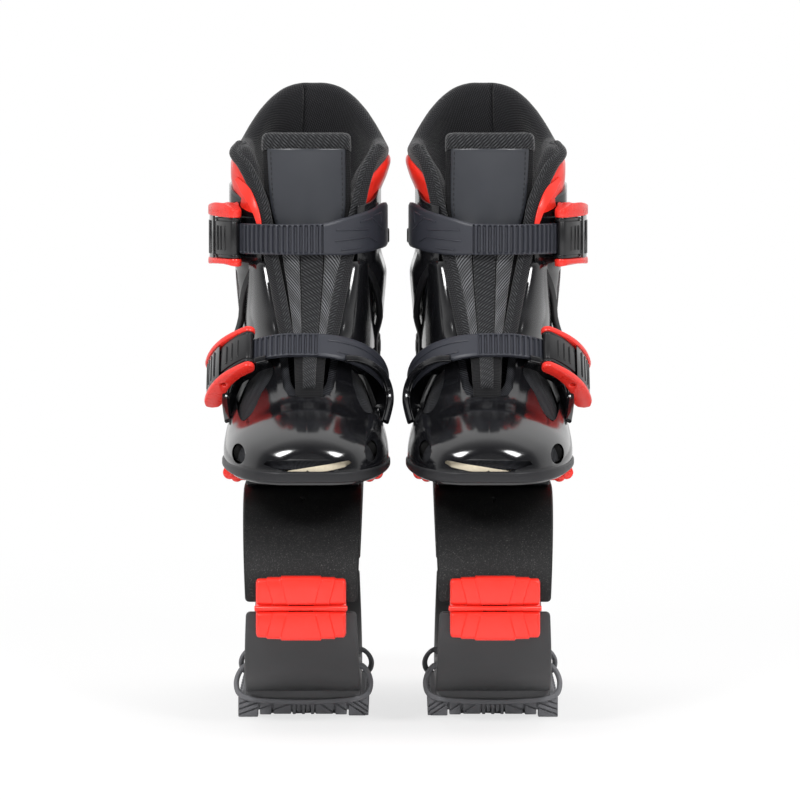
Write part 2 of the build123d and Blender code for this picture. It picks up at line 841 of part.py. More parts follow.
def strap_plane(name):
    """Where a strap lies: its middle height, with X across the boot and Z across the strap's width."""
    if name == "ankle":
        return Plane(origin=(0, cuff_middle_top, ankle_strap_z), x_dir=(1, 0, 0), z_dir=(0, 0, 1))
    slope = math.radians(instep_slope)
    return Plane(origin=(0, instep_y, instep_z), x_dir=(1, 0, 0), z_dir=(0, math.cos(slope), math.sin(slope)))


def strap_sizes(name):
    """Half size across and along, corner radius, width and broad end of a strap, at its seat."""
    if name == "ankle":
        radius = cuff_half_x_top - cuff_corner_less
        plate = (ankle_plate_start, ankle_plate_full, ankle_plate_rise, ankle_plate_drop)
        return cuff_half_x_top, cuff_half_y_top, radius, ladder_width, plate
    radius = instep_half_x - instep_corner_less
    plate = (instep_plate_start, instep_plate_full, instep_plate_rise, instep_plate_rise)
    return instep_half_x, instep_half_y, radius, instep_strap_width, plate


def strap_ring(name, inner, outer):
    """A level ring between two distances outside the strap's seat, open at the back."""
    half_x, half_y, radius, _, _ = strap_sizes(name)
    faces = []
    for grow in (outer, inner):
        faces.append(RectangleRounded(2 * (half_x + grow), 2 * (half_y + grow), radius + grow))
    ring = extrude(faces[0] - faces[1], amount=over, both=True)
    back = half_y + over
    ring -= box_between((-back, radius - half_y, -2 * over), (0, back, 2 * over))
    return ring - box_between((0, strap_end, -2 * over), (back, back, 2 * over))


def make_strap(name):
    """Ratchet strap across the boot: a ribbed ladder to the buckle and a broad riveted end."""
    half_x, _, _, width, plate = strap_sizes(name)
    start, full, rise, drop = plate
    reach = half_x + over
    half = width / 2
    outline = [(-reach, -half), (start, -half), (full, -drop), (reach, -drop), (reach, rise), (full, rise),
               (start, half), (-reach, half)]
    body_room = extrude(Plane.XZ * make_face(Polyline(*outline, close=True)), amount=2 * over, both=True)
    strap = strap_ring(name, strap_seat, strap_seat + strap_thickness) & body_room
    ladder_start = ladder_end_margin - half_x
    pitch = (start - ladder_start) / ladder_ribs
    face = strap_seat + strap_thickness
    rib_ring = strap_ring(name, face - strap_thickness / 2, face + ladder_rib_depth)
    front = -half_x - 2 * over
    ribs = []
    for index in range(ladder_ribs):
        x = ladder_start + (index + 1 / 2) * pitch
        room = box_between((x - ladder_rib / 2, front, -half), (x + ladder_rib / 2, ladder_back, half))
        ribs.append(rib_ring & room)
    strap = strap.fuse(*ribs)
    strap -= x_bar(0, 0, strap_rivet_radius + running_gap, 0, reach)
    return strap_plane(name).location * strap


def buckle_half_width(name):
    """Half the clear width between a buckle's ears."""
    return strap_sizes(name)[3] / 2 + buckle_side_gap


def z_bar(x, y, radius, low, high):
    """A round bar along Z between two heights."""
    return Pos(x, y, (low + high) / 2) * Cylinder(radius, high - low)


def buckle_turn(name, along):
    """Angle round the strap's corner, from the boot's side towards its toe, of a place on a buckle."""
    _, _, radius, _, _ = strap_sizes(name)
    pin_angle = ankle_pin_angle if name == "ankle" else instep_pin_angle
    return pin_angle - math.degrees(along / (radius + lever_pin_out))


def on_buckle(name, out, along):
    """A place on a buckle: so far outside its seat and so far back from the lever's pin."""
    half_x, half_y, radius, _, _ = strap_sizes(name)
    turn = math.radians(buckle_turn(name, along))
    reach = radius + out
    return radius - half_x - reach * math.cos(turn), radius - half_y - reach * math.sin(turn)


def buckle_sector(name, outs, alongs, heights):
    """A curved block on a buckle, between two distances out, two places along and two heights."""
    half_x, half_y, radius, _, _ = strap_sizes(name)
    back_turn = buckle_turn(name, alongs[1])
    size = buckle_turn(name, alongs[0]) - back_turn
    middle = (radius - half_x, radius - half_y)
    arcs = [CenterArc(middle, radius + out, 180 + back_turn, size) for out in outs]
    ends = [Line(arcs[0] @ share, arcs[1] @ share) for share in (0, 1)]
    block = extrude(make_face(arcs + ends), amount=heights[1] - heights[0], dir=(0, 0, 1))
    return Pos(0, 0, heights[0]) * block


def make_buckle_base(name):
    """Buckle base: a curved plate under the strap and two ears that carry the lever and release."""
    inner = buckle_half_width(name)
    outer = inner + buckle_ear
    tip = lever_pin_out + ear_tip_radius
    base = buckle_sector(name, (0, buckle_plate), (buckle_plate_front, buckle_back), (-outer, outer))
    pin_x, pin_y = on_buckle(name, lever_pin_out, 0)
    for side in (-1, 1):
        z = sorted((side * inner, side * outer))
        base += buckle_sector(name, (0, tip), (0, buckle_back), z)
        base += buckle_sector(name, (0, lever_pin_out), (buckle_front, 0), z)
        base += z_bar(pin_x, pin_y, ear_tip_radius, z[0], z[1])
    for along in (0, release_pin_along):
        x, y = on_buckle(name, lever_pin_out, along)
        base -= z_bar(x, y, buckle_pin_radius + running_gap, -over, over)
    return strap_plane(name).location * base


def make_lever(name):
    """Main lever: two curved side plates outside the ears and a back plate that the hand pulls."""
    inner = buckle_half_width(name) + buckle_ear + lever_side_gap
    outer = inner + lever_side
    back_inner = lever_pin_out + ear_tip_radius + lever_back_gap
    back_outer = back_inner + lever_back
    lever = buckle_sector(name, (back_inner, back_outer), (lever_start, lever_end), (-outer, outer))
    pin_x, pin_y = on_buckle(name, lever_pin_out, 0)
    for side in (-1, 1):
        z = sorted((side * inner, side * outer))
        lever += buckle_sector(name, (lever_pin_out - lever_depth, back_outer), (lever_start, lever_end), z)
        lever += z_bar(pin_x, pin_y, lever_side_radius, z[0], z[1])
    lever -= z_bar(pin_x, pin_y, buckle_pin_radius + running_gap, -over, over)
    return strap_plane(name).location * lever


def make_release(name):
    """Small inner release lever between the ears, whose tip shows past the main lever."""
    half = buckle_half_width(name) - release_side_gap
    outs = (lever_pin_out - release_half_depth, lever_pin_out + release_half_depth)
    release = buckle_sector(name, outs, (release_front, release_tip), (-half, half))
    pin_x, pin_y = on_buckle(name, lever_pin_out, release_pin_along)
    release -= z_bar(pin_x, pin_y, buckle_pin_radius + running_gap, -over, over)
    return strap_plane(name).location * release


def make_buckle_pins(name):
    """The lever's pin, the release's pin and the rivet that holds the strap's other end."""
    seat = strap_sizes(name)[0]
    half = buckle_half_width(name)
    lever_half = half + buckle_ear + lever_side_gap + lever_side
    pins = Part()
    for along, reach in ((0, lever_half), (release_pin_along, half + buckle_ear)):
        x, y = on_buckle(name, lever_pin_out, along)
        pins += z_bar(x, y, buckle_pin_radius, -reach, reach)
    end = seat + strap_seat + strap_thickness + running_gap
    pins += x_bar(0, 0, strap_rivet_radius, seat - strap_rivet_root, end + strap_rivet_head)
    pins += x_bar(0, 0, strap_rivet_head_radius, end, end + strap_rivet_head)
    return strap_plane(name).location * pins


def spring_pieces():
    """Every piece under the wearer's right boot by name, with its middle at X = 0."""
    pieces = {
        "outsole": make_outsole(),
        "lower_bow": make_bow(-1),
        "upper_bow": make_bow(1),
        "tension_band": make_tension_band(),
        "mount_bracket": make_bracket(),
        "mount_bolts": make_bracket_bolts(),
    }
    for end, way, bore_gap in (("front", -1, running_gap), ("rear", 1, open_pivot_gap)):
        pieces[f"{end}_hinge_upper"] = make_hinge_cover(way, 1, bore_gap)
        pieces[f"{end}_hinge_lower"] = make_hinge_cover(way, -1, bore_gap)
        pieces[f"{end}_hinge_pin"] = make_hinge_pin(way)
    return pieces


def boot_pieces():
    """Every piece of the boot itself by name, with its underside at Z = 0."""
    pieces = {
        "lower_shell": make_lower_shell(),
        "footbed": make_footbed(),
        "liner_foot": make_liner_foot(),
        "tongue": make_tongue(),
        "cuff": make_cuff(),
        "shell_rivets": make_shell_rivets(),
        "liner_collar": make_liner_collar(),
        "collar_panels": make_collar_panels(),
    }
    for name in ("ankle", "instep"):
        pieces[f"{name}_strap"] = make_strap(name)
        pieces[f"{name}_buckle_base"] = make_buckle_base(name)
        pieces[f"{name}_lever"] = make_lever(name)
        pieces[f"{name}_release"] = make_release(name)
        pieces[f"{name}_pins"] = make_buckle_pins(name)
    return pieces


right_pieces = spring_pieces()
for piece_name, piece in boot_pieces().items():
    right_pieces[piece_name] = Pos(0, 0, sole_height) * piece

os.makedirs("parts", exist_ok=True)
for piece_name, piece in right_pieces.items():
    right_piece = Pos(-boot_spacing / 2, 0, 0) * piece
    left_piece = right_piece.mirror(Plane.YZ)
    for side_name, placed in (("right", right_piece), ("left", left_piece)):
        export_step(placed, f"parts/{side_name}_{piece_name}.step")
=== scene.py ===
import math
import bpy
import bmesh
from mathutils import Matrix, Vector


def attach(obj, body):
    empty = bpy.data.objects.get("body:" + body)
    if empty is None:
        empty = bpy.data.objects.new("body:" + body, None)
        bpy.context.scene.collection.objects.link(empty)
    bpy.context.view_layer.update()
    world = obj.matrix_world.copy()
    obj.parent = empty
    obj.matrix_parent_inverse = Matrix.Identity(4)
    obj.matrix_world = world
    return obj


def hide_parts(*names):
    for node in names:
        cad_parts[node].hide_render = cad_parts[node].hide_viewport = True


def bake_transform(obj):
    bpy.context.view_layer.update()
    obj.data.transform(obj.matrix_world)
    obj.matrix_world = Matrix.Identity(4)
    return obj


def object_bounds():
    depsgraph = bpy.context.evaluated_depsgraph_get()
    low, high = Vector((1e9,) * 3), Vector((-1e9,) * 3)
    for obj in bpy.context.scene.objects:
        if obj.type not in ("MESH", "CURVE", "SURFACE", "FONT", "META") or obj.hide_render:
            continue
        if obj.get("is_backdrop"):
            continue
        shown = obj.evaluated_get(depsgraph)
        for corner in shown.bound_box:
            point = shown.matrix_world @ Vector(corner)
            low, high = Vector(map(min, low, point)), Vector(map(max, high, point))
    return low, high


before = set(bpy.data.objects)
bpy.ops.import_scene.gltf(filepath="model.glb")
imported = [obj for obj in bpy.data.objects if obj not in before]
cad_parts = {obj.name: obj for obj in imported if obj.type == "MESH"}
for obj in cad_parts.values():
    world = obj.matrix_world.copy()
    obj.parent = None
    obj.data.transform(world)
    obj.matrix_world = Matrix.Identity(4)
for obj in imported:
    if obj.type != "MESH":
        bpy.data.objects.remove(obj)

# %% [markdown]
# This lesson dresses a pair of children's jumping boots: a hard skate-type boot on a spring made of two
# plastic bows. The solids, their joints and their sizes are already packed. Here every piece gets its
# looks. Each piece is drawn once for the wearer's right boot, in millimetres, with its middle at X = 0
# and the toes along -Y. The left boot is the mirror image.

solid_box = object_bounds()
print("box of the solids:", [round(v, 4) for corner in solid_box for v in corner])

# %% [markdown]
# Helpers come first. Most pieces are grids of points, because the shells, straps and pads of a boot are
# all skins over smooth sections. A grid can be open, or closed round one way, and it keeps a UV map in
# metres along the surface, so that a weave follows the cloth round each bend.

# %% Numbers that several pieces share
MM = 0.001
BOOT_X = 64.0
SIDES = ("right", "left")
ENDS = (("front", -1), ("rear", 1))
HINGE_Y = 145.0
HINGE_Z = 83.0
SOLE_Z = 171.0
HINGE_X_HALF = 29.75


# %% Small sums
def mix(a, b, t):
    """The value a share of the way from a to b."""
    return a + (b - a) * t


def smooth(t):
    """A soft step from 0 to 1."""
    t = min(1.0, max(0.0, t))
    return t * t * (3 - 2 * t)


def step_at(value, edge, width):
    """A soft step round an edge."""
    return smooth((value - edge) / width + 0.5)


def circle(sides):
    """Even angles round a circle."""
    return [2 * math.pi * k / sides for k in range(sides)]


def along_table(table, t):
    """Reads a smooth curve through a short table of (place, value) at t."""
    if t <= table[0][0]:
        return table[0][1]
    for index in range(len(table) - 1):
        x0, y0 = table[index]
        x1, y1 = table[index + 1]
        if t <= x1:
            before = table[max(index - 1, 0)]
            after = table[min(index + 2, len(table) - 1)]
            run = x1 - x0
            slope0 = (y1 - before[1]) / (x1 - before[0]) if index else (y1 - y0) / run
            slope1 = (after[1] - y0) / (after[0] - x0) if index + 2 < len(table) else (y1 - y0) / run
            s = (t - x0) / run
            a = 2 * s ** 3 - 3 * s ** 2 + 1
            b = s ** 3 - 2 * s ** 2 + s
            c = 3 * s ** 2 - 2 * s ** 3
            d = s ** 3 - s ** 2
            return a * y0 + b * run * slope0 + c * y1 + d * run * slope1
    return table[-1][1]


def smooth_line(points, count):
    """A smooth run of points through a few, evenly numbered."""
    last = len(points) - 1
    tables = [[(i, p[k]) for i, p in enumerate(points)] for k in range(len(points[0]))]
    return [Vector([along_table(t, last * i / (count - 1)) for t in tables]) for i in range(count)]


# %% Meshes from points
def new_mesh(name, points, faces, uvs=None):
    """A mesh from points in millimetres, with a UV map from one pair for each point."""
    mesh = bpy.data.meshes.new(name)
    mesh.from_pydata([Vector(p) * MM for p in points], [], faces)
    if uvs:
        layer = mesh.uv_layers.new(name="UVMap")
        for loop in mesh.loops:
            layer.data[loop.index].uv = Vector(uvs[loop.vertex_index]) * MM
    mesh.validate()
    return mesh


def grid_faces(rows, columns, wrap_rows=False, wrap_columns=False, start=0):
    """Quads of a grid of points that is stored row by row."""
    faces = []
    for i in range(rows if wrap_rows else rows - 1):
        for j in range(columns if wrap_columns else columns - 1):
            a = i % rows * columns + j
            b = i % rows * columns + (j + 1) % columns
            c = (i + 1) % rows * columns + (j + 1) % columns
            d = (i + 1) % rows * columns + j
            faces.append([start + k for k in (a, b, c, d)])
    return faces


def grid_uvs(rows):
    """Surface distances along and across a grid, in millimetres, one pair for each point."""
    middle = len(rows) // 2
    across = [0.0]
    for a, b in zip(rows[middle], rows[middle][1:]):
        across.append(across[-1] + (Vector(b) - Vector(a)).length)
    half = len(rows[0]) // 2
    along = [0.0]
    for a, b in zip(rows, rows[1:]):
        along.append(along[-1] + (Vector(b[half]) - Vector(a[half])).length)
    return [(along[i], across[j]) for i in range(len(rows)) for j in range(len(rows[0]))]


def tube_mesh(name, loops):
    """A closed body over a run of closed loops, with a flat cap at each end."""
    points = [p for loop in loops for p in loop]
    count = len(loops[0])
    faces = grid_faces(len(loops), count, wrap_columns=True)
    faces.append(list(range(count))[::-1])
    faces.append([(len(loops) - 1) * count + k for k in range(count)])
    mesh = new_mesh(name, points, faces, grid_uvs(loops))
    return outward(mesh)


def plate_mesh(name, outer, inner):
    """A closed plate between two grids of the same size, such as a strap's face and its back."""
    rows, columns = len(outer), len(outer[0])
    shift = rows * columns
    points = [p for row in outer for p in row] + [p for row in inner for p in row]
    faces = grid_faces(rows, columns)
    faces += [face[::-1] for face in grid_faces(rows, columns, start=shift)]
    edge = list(range(columns))
    edge += [i * columns + columns - 1 for i in range(1, rows)]
    edge += [(rows - 1) * columns + j for j in range(columns - 2, -1, -1)]
    edge += [i * columns for i in range(rows - 2, 0, -1)]
    for a, b in zip(edge, edge[1:] + edge[:1]):
        faces.append([b, a, a + shift, b + shift])
    uvs = grid_uvs(outer)
    return outward(new_mesh(name, points, faces, uvs + uvs))


def outward(mesh):
    """Turns all faces of a closed mesh outward."""
    shape = bmesh.new()
    shape.from_mesh(mesh)
    bmesh.ops.recalc_face_normals(shape, faces=shape.faces)
    shape.to_mesh(mesh)
    shape.free()
    return mesh


def rounded_loop(half_a, half_b, radius, steps=4):
    """Points round a rectangle with round corners, as pairs."""
    points = []
    for corner, (sa, sb) in enumerate(((1, 1), (-1, 1), (-1, -1), (1, -1))):
        for k in range(steps + 1):
            angle = math.pi / 2 * (corner + k / steps)
            a = sa * (half_a - radius) + radius * math.cos(angle)
            b = sb * (half_b - radius) + radius * math.sin(angle)
            points.append((a, b))
    return points


def block_mesh(name, low, high, radius, steps=3):
    """A block with rounded edges, from its lowest to its highest corner."""
    shape = bmesh.new()
    bmesh.ops.create_cube(shape, size=1)
    size = [b - a for a, b in zip(low, high)]
    middle = [(b + a) / 2 for a, b in zip(low, high)]
    bmesh.ops.scale(shape, vec=Vector(size) * MM, verts=shape.verts)
    bmesh.ops.translate(shape, vec=Vector(middle) * MM, verts=shape.verts)
    bmesh.ops.bevel(shape, geom=shape.edges, offset=radius * MM, segments=steps, profile=0.5,
                    affect="EDGES")
    mesh = bpy.data.meshes.new(name)
    shape.to_mesh(mesh)
    shape.free()
    return mesh


def bar_mesh(name, start, end, radius, edge=0.5, sides=32):
    """A round bar with softened ends."""
    start, end = Vector(start), Vector(end)
    along = (end - start).normalized()
    side = along.orthogonal().normalized()
    other = along.cross(side)
    length = (end - start).length
    loops = []
    stations = [(0, radius - edge), (edge * 0.3, radius - edge * 0.3), (edge, radius)]
    stations += [(length - place, size) for place, size in reversed(stations)]
    for place, size in stations:
        middle = start + along * place
        loops.append([middle + (side * math.cos(a) + other * math.sin(a)) * size for a in circle(sides)])
    return tube_mesh(name, loops)


def joined(name, meshes):
    """One mesh from several."""
    shape = bmesh.new()
    for mesh in meshes:
        shape.from_mesh(mesh)
    result = bpy.data.meshes.new(name)
    shape.to_mesh(result)
    shape.free()
    for mesh in meshes:
        bpy.data.meshes.remove(mesh)
    return result


# %% Modifiers that are applied at once
def worked(mesh, *steps):
    """Runs modifiers on a mesh and gives back the finished mesh. Each step is (type, {settings})."""
    holder = bpy.data.objects.new("work", mesh)
    bpy.context.scene.collection.objects.link(holder)
    for kind, settings in steps:
        modifier = holder.modifiers.new(kind.lower(), kind)
        for key, value in settings.items():
            setattr(modifier, key, value)
    graph = bpy.context.evaluated_depsgraph_get()
    result = bpy.data.meshes.new_from_object(holder.evaluated_get(graph))
    bpy.data.objects.remove(holder)
    return result


def without(mesh, *cutters):
    """A mesh with other closed meshes cut out of it."""
    tools = []
    steps = []
    for cutter in cutters:
        tool = bpy.data.objects.new("cutter", cutter)
        bpy.context.scene.collection.objects.link(tool)
        tools.append(tool)
        steps.append(("BOOLEAN", {"operation": "DIFFERENCE", "solver": "EXACT", "object": tool}))
    result = worked(mesh, *steps)
    for tool in tools:
        bpy.data.objects.remove(tool)
    return result


def bevelled(mesh, width, segments=2, angle=40):
    """A mesh with its sharp edges rounded."""
    settings = {"width": width * MM, "segments": segments, "limit_method": "ANGLE",
                "angle_limit": math.radians(angle), "harden_normals": False}
    return worked(mesh, ("BEVEL", settings))


# %% [markdown]
# A finished mesh is set on both boots with one call. The right boot's copy moves 64 mm to the side, and
# the left boot's copy is mirrored, with its faces turned over. The call also says which body the piece
# rides on, which solids it stands for, and which material it has.

# %% Setting a piece on both boots
def shade(mesh, angle=35):
    """Smooth shading that keeps edges sharper than an angle."""
    mesh.shade_smooth()
    shape = bmesh.new()
    shape.from_mesh(mesh)
    for edge in shape.edges:
        if len(edge.link_faces) == 2:
            edge.smooth = edge.calc_face_angle(0) < math.radians(angle)
    shape.to_mesh(mesh)
    shape.free()


def set_pair(name, mesh, material, body, nodes=(), bend=None, angle=35):
    """Puts a mesh on both boots. bend is (other body, start, end); when it is given, the piece is set on no
    body and the three values are not read.
    """
    shade(mesh, angle)
    mesh.materials.clear()
    mesh.materials.append(material)
    for side in SIDES:
        sign = -1 if side == "right" else 1
        copy = mesh.copy()
        flip = Matrix.Diagonal((-sign, 1, 1, 1))
        copy.transform(Matrix.Translation((sign * BOOT_X * MM, 0, 0)) @ flip)
        if sign > 0:
            copy.flip_normals()
        piece = bpy.data.objects.new(f"{side}_{name}", copy)
        bpy.context.scene.collection.objects.link(piece)
        if bend:
            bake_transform(piece)
        else:
            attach(piece, f"{side}_{body}")
        if nodes:
            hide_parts(*[f"{side}_{node}" for node in nodes])
    print(name, "points:", len(mesh.vertices))


# %% [markdown]
# Materials are small node trees round Blender's own principled shader. Each real surface here is either
# moulded plastic, rubber, steel, coated leather, cloth or board. Moulded plastic is never quite flat: it has
# a faint orange peel, a fine grain and rubbed patches, so those go into its bump and its roughness.

# %% Material helpers
class Finish:
    """A principled material under construction."""

    def __init__(self, name, color, roughness, **sockets):
        self.material = bpy.data.materials.new(name)
        self.material.use_nodes = True
        self.tree = self.material.node_tree
        self.shader = self.tree.nodes["Principled BSDF"]
        self.shader.inputs["Base Color"].default_value = (*color, 1)
        self.shader.inputs["Roughness"].default_value = roughness
        for key, value in sockets.items():
            self.shader.inputs[key.replace("_", " ")].default_value = value

    def node(self, kind, **settings):
        """Adds a node. Numbered keys such as in_Scale set its sockets."""
        made = self.tree.nodes.new("ShaderNode" + kind)
        for key, value in settings.items():
            if key.startswith("in_"):
                made.inputs[key[3:].replace("_", " ")].default_value = value
            else:
                setattr(made, key, value)
        return made

    def link(self, source, target):
        """Joins two sockets."""
        self.tree.links.new(source, target)

    def math(self, operation, a, b=None):
        """One sum of two sockets or numbers."""
        made = self.node("Math", operation=operation)
        for index, value in enumerate((a, b)):
            if value is None:
                continue
            if isinstance(value, (int, float)):
                made.inputs[index].default_value = value
            else:
                self.link(value, made.inputs[index])
        return made.outputs[0]

    def places(self, uv=False):
        """The surface's UV in metres, or the object's own coordinates."""
        coordinate = self.node("TexCoord")
        return coordinate.outputs["UV" if uv else "Object"]

    def noise(self, scale, detail=3.0, roughness=0.55, stretch=None):
        """A noise value over the surface. Scale counts lumps in a metre."""
        made = self.node("TexNoise", in_Scale=scale, in_Detail=detail, in_Roughness=roughness)
        source = self.places()
        if stretch:
            mapping = self.node("Mapping")
            mapping.inputs["Scale"].default_value = stretch
            self.link(source, mapping.inputs["Vector"])
            source = mapping.outputs[0]
        self.link(source, made.inputs["Vector"])
        return made.outputs["Fac"]

    def ramp(self, value, low, high, start=0.0, end=1.0):
        """Maps a value from one range to another."""
        made = self.node("MapRange", in_From_Min=low, in_From_Max=high, in_To_Min=start, in_To_Max=end)
        self.link(value, made.inputs["Value"])
        return made.outputs[0]

    def colors(self, factor, first, second):
        """Mixes two colours by a value, into the base colour."""
        made = self.node("Mix", data_type="RGBA")
        self.link(factor, made.inputs["Factor"])
        made.inputs["A"].default_value = (*first, 1)
        made.inputs["B"].default_value = (*second, 1)
        self.link(made.outputs["Result"], self.shader.inputs["Base Color"])

    def rough(self, value, low, high):
        """Lets a value from 0 to 1 move the roughness."""
        self.link(self.ramp(value, 0, 1, low, high), self.shader.inputs["Roughness"])

    def bump(self, value, depth):
        """Raises the surface by a value, to a depth in millimetres."""
        made = self.node("Bump", in_Strength=1.0, in_Distance=depth * MM)
        self.link(value, made.inputs["Height"])
        previous = self.shader.inputs["Normal"]
        if previous.links:
            self.link(previous.links[0].from_socket, made.inputs["Normal"])
        self.link(made.outputs["Normal"], self.shader.inputs["Normal"])


def moulded(name, color, roughness, peel=0.02, grain=0.0, worn=0.06, **sockets):
    """Moulded plastic: colour that drifts a little, orange peel, fine grain and rubbed patches."""
    finish = Finish(name, color, roughness, **sockets)
    drift = finish.noise(14, detail=2)
    darker = tuple(c * 0.86 for c in color)
    lighter = tuple(min(1.0, c * 1.12 + 0.002) for c in color)
    finish.colors(drift, darker, lighter)
    rubbed = finish.noise(55, detail=6, roughness=0.7)
    finish.rough(rubbed, max(0.02, roughness - worn), roughness + worn)
    finish.bump(finish.noise(260, detail=2), peel)
    if grain:
        finish.bump(finish.noise(2600, detail=3, roughness=0.7), grain)
    return finish


# %% [markdown]
# The glossy shell is the main surface of the boot: hard black plastic with a clear, wet shine. Its base is
# almost black, and what the eye sees on it are reflections, so a thin clear coat lies over it.

# %% Plastic finishes
shell_gloss = moulded("shell_gloss", (0.0055, 0.0056, 0.0068), 0.15, peel=0.012, worn=0.04)
shell_gloss.shader.inputs["Coat Weight"].default_value = 0.6
shell_gloss.shader.inputs["Coat Roughness"].default_value = 0.1
rim_satin = moulded("rim_satin", (0.016, 0.016, 0.018), 0.42, peel=0.02, grain=0.012)
# Near-black matte plastic for the bracket block. On the cuff's edge the same colour is painted shade for the
# gap between cuff and shell.
matte_black_and_gap_shade = moulded("matte_black_and_gap_shade", (0.006, 0.006, 0.007), 0.42, peel=0.02, grain=0.01)
red_hinge = moulded("red_hinge", (0.92, 0.028, 0.016), 0.3, peel=0.02, grain=0.004)
red_hinge.shader.inputs["Subsurface Weight"].default_value = 0.08
red_hinge.shader.inputs["Subsurface Radius"].default_value = (0.004, 0.001, 0.0006)
red_panel = moulded("red_panel", (0.86, 0.03, 0.017), 0.3, peel=0.03)
red_lever = moulded("red_lever", (0.82, 0.03, 0.02), 0.28, peel=0.02)
strap_plastic = moulded("strap_plastic", (0.03, 0.032, 0.042), 0.42, peel=0.02, grain=0.006)
buckle_black = moulded("buckle_black", (0.008, 0.008, 0.009), 0.3, peel=0.02, grain=0.005)
lower_grey = moulded("lower_grey", (0.042, 0.042, 0.044), 0.5, peel=0.03, grain=0.008)
tread_grey = moulded("tread_grey", (0.17, 0.171, 0.182), 0.75, peel=0.05, grain=0.03, worn=0.1)
for satin in (lower_grey, tread_grey, rim_satin, matte_black_and_gap_shade):
    satin.shader.inputs["Specular IOR Level"].default_value = 0.35
print("plastic finishes made")

# %% [markdown]
# The upper bow is filled plastic with tiny bright flecks in a nearly black body. A very fine noise, cut
# high, gives flecks that are lighter and smoother than the ground.

# %% Sparkling bow plastic
bow_black = Finish("bow_black", (0.012, 0.012, 0.013), 0.42)
flecks = bow_black.ramp(bow_black.noise(1500, detail=2, roughness=0.8), 0.6, 0.74)
bow_black.colors(flecks, (0.007, 0.007, 0.0075), (0.15, 0.145, 0.14))
bow_black.rough(flecks, 0.58, 0.3)
bow_black.shader.inputs["Specular IOR Level"].default_value = 0.3
bow_black.bump(bow_black.noise(1100, detail=4, roughness=0.75), 0.05)
bow_black.bump(bow_black.noise(40, detail=2), 0.05)

# %% Steel and board
steel = Finish("steel", (0.62, 0.62, 0.63), 0.26, Metallic=1.0)
steel.rough(steel.noise(700, detail=4, stretch=(0.1, 1, 1)), 0.18, 0.4)
steel.bump(steel.noise(900, detail=3, stretch=(0.08, 1, 1)), 0.01)
board = Finish("board", (0.72, 0.63, 0.47), 0.75)
board.colors(board.noise(500, detail=5, stretch=(1, 0.1, 1)), (0.62, 0.53, 0.38), (0.82, 0.74, 0.58))
board.bump(board.noise(900, detail=4), 0.06)
print("steel and board made")


# %% [markdown]
# The cloths differ by their weave. The collar is a fine black knit of slanted ribs. The tongue's face is
# a twill whose cords cross, and the inner shoe is an open mesh. Each weave is built from waves along the
# UV map, which is in metres, so a rib has its true width.

# %% Cloth finishes
def waves(finish, source, across, pitch, turn=0.0):
    """Even ridges, one for each pitch in millimetres, slanted by an angle."""
    mapping = finish.node("Mapping", vector_type="TEXTURE")
    mapping.inputs["Rotation"].default_value = (0, 0, math.radians(turn))
    finish.link(source, mapping.inputs["Vector"])
    parts = finish.node("SeparateXYZ")
    finish.link(mapping.outputs[0], parts.inputs[0])
    wave = finish.math("SINE", finish.math("MULTIPLY", parts.outputs[across], 2 * math.pi / (pitch * MM)))
    return finish.ramp(wave, -1, 1)


def woven(name, dark, light, pitch, turns, depth=0.25, sheen=0.25):
    """Cloth of two crossing sets of cords."""
    finish = Finish(name, dark, 0.85)
    finish.shader.inputs["Sheen Weight"].default_value = sheen
    finish.shader.inputs["Specular IOR Level"].default_value = 0.25
    finish.shader.inputs["Sheen Roughness"].default_value = 0.4
    source = finish.places(uv=True)
    first = waves(finish, source, "X", pitch, turns[0])
    second = waves(finish, source, "Y", pitch * 1.15, turns[1])
    cords = finish.math("MULTIPLY", first, finish.math("ADD", finish.math("MULTIPLY", second, 0.6), 0.4))
    fuzz = finish.noise(1400, detail=4, roughness=0.7)
    cloth = finish.math("MULTIPLY", cords, finish.ramp(fuzz, 0.25, 0.75, 0.55, 1.15))
    finish.colors(cloth, dark, light)
    finish.bump(cords, depth)
    finish.bump(fuzz, depth * 0.3)
    return finish


collar_knit = woven("collar_knit", (0.004, 0.004, 0.0045), (0.045, 0.045, 0.05), 1.35, turns=(20, 32))
twill = woven("twill", (0.0025, 0.0025, 0.0028), (0.075, 0.077, 0.083), 1.7, turns=(40, -30), depth=0.3)
pad_twill = woven("pad_twill", (0.004, 0.004, 0.004), (0.24, 0.245, 0.26), 1.5, turns=(55, -35), depth=0.3,
                  sheen=0.4)
inner_mesh = woven("inner_mesh", (0.002, 0.002, 0.0025), (0.06, 0.063, 0.075), 1.5, turns=(45, -45),
                   depth=0.3,
                   sheen=0.08)
tongue_side = woven("tongue_side", (0.004, 0.004, 0.0045), (0.02, 0.02, 0.022), 1.2, turns=(0, 8),
                    sheen=0.1)
patch_leather = Finish("patch_leather", (0.04, 0.042, 0.05), 0.36)
patch_leather.colors(patch_leather.noise(30, detail=3), (0.027, 0.029, 0.035), (0.038, 0.041, 0.049))
patch_leather.rough(patch_leather.noise(200, detail=5), 0.27, 0.38)
patch_leather.bump(patch_leather.noise(1300, detail=5, roughness=0.7), 0.05)
thread = Finish("thread", (0.012, 0.012, 0.013), 0.7)
thread.bump(thread.noise(3000, detail=2), 0.05)
# Near-black, used only for the plugs behind the air holes: painted shade inside the holes.
hole_shade_black = Finish("hole_shade_black", (0.002, 0.002, 0.002), 0.9)
hole_shade_black.bump(hole_shade_black.noise(800), 0.05)
print("cloth finishes made")
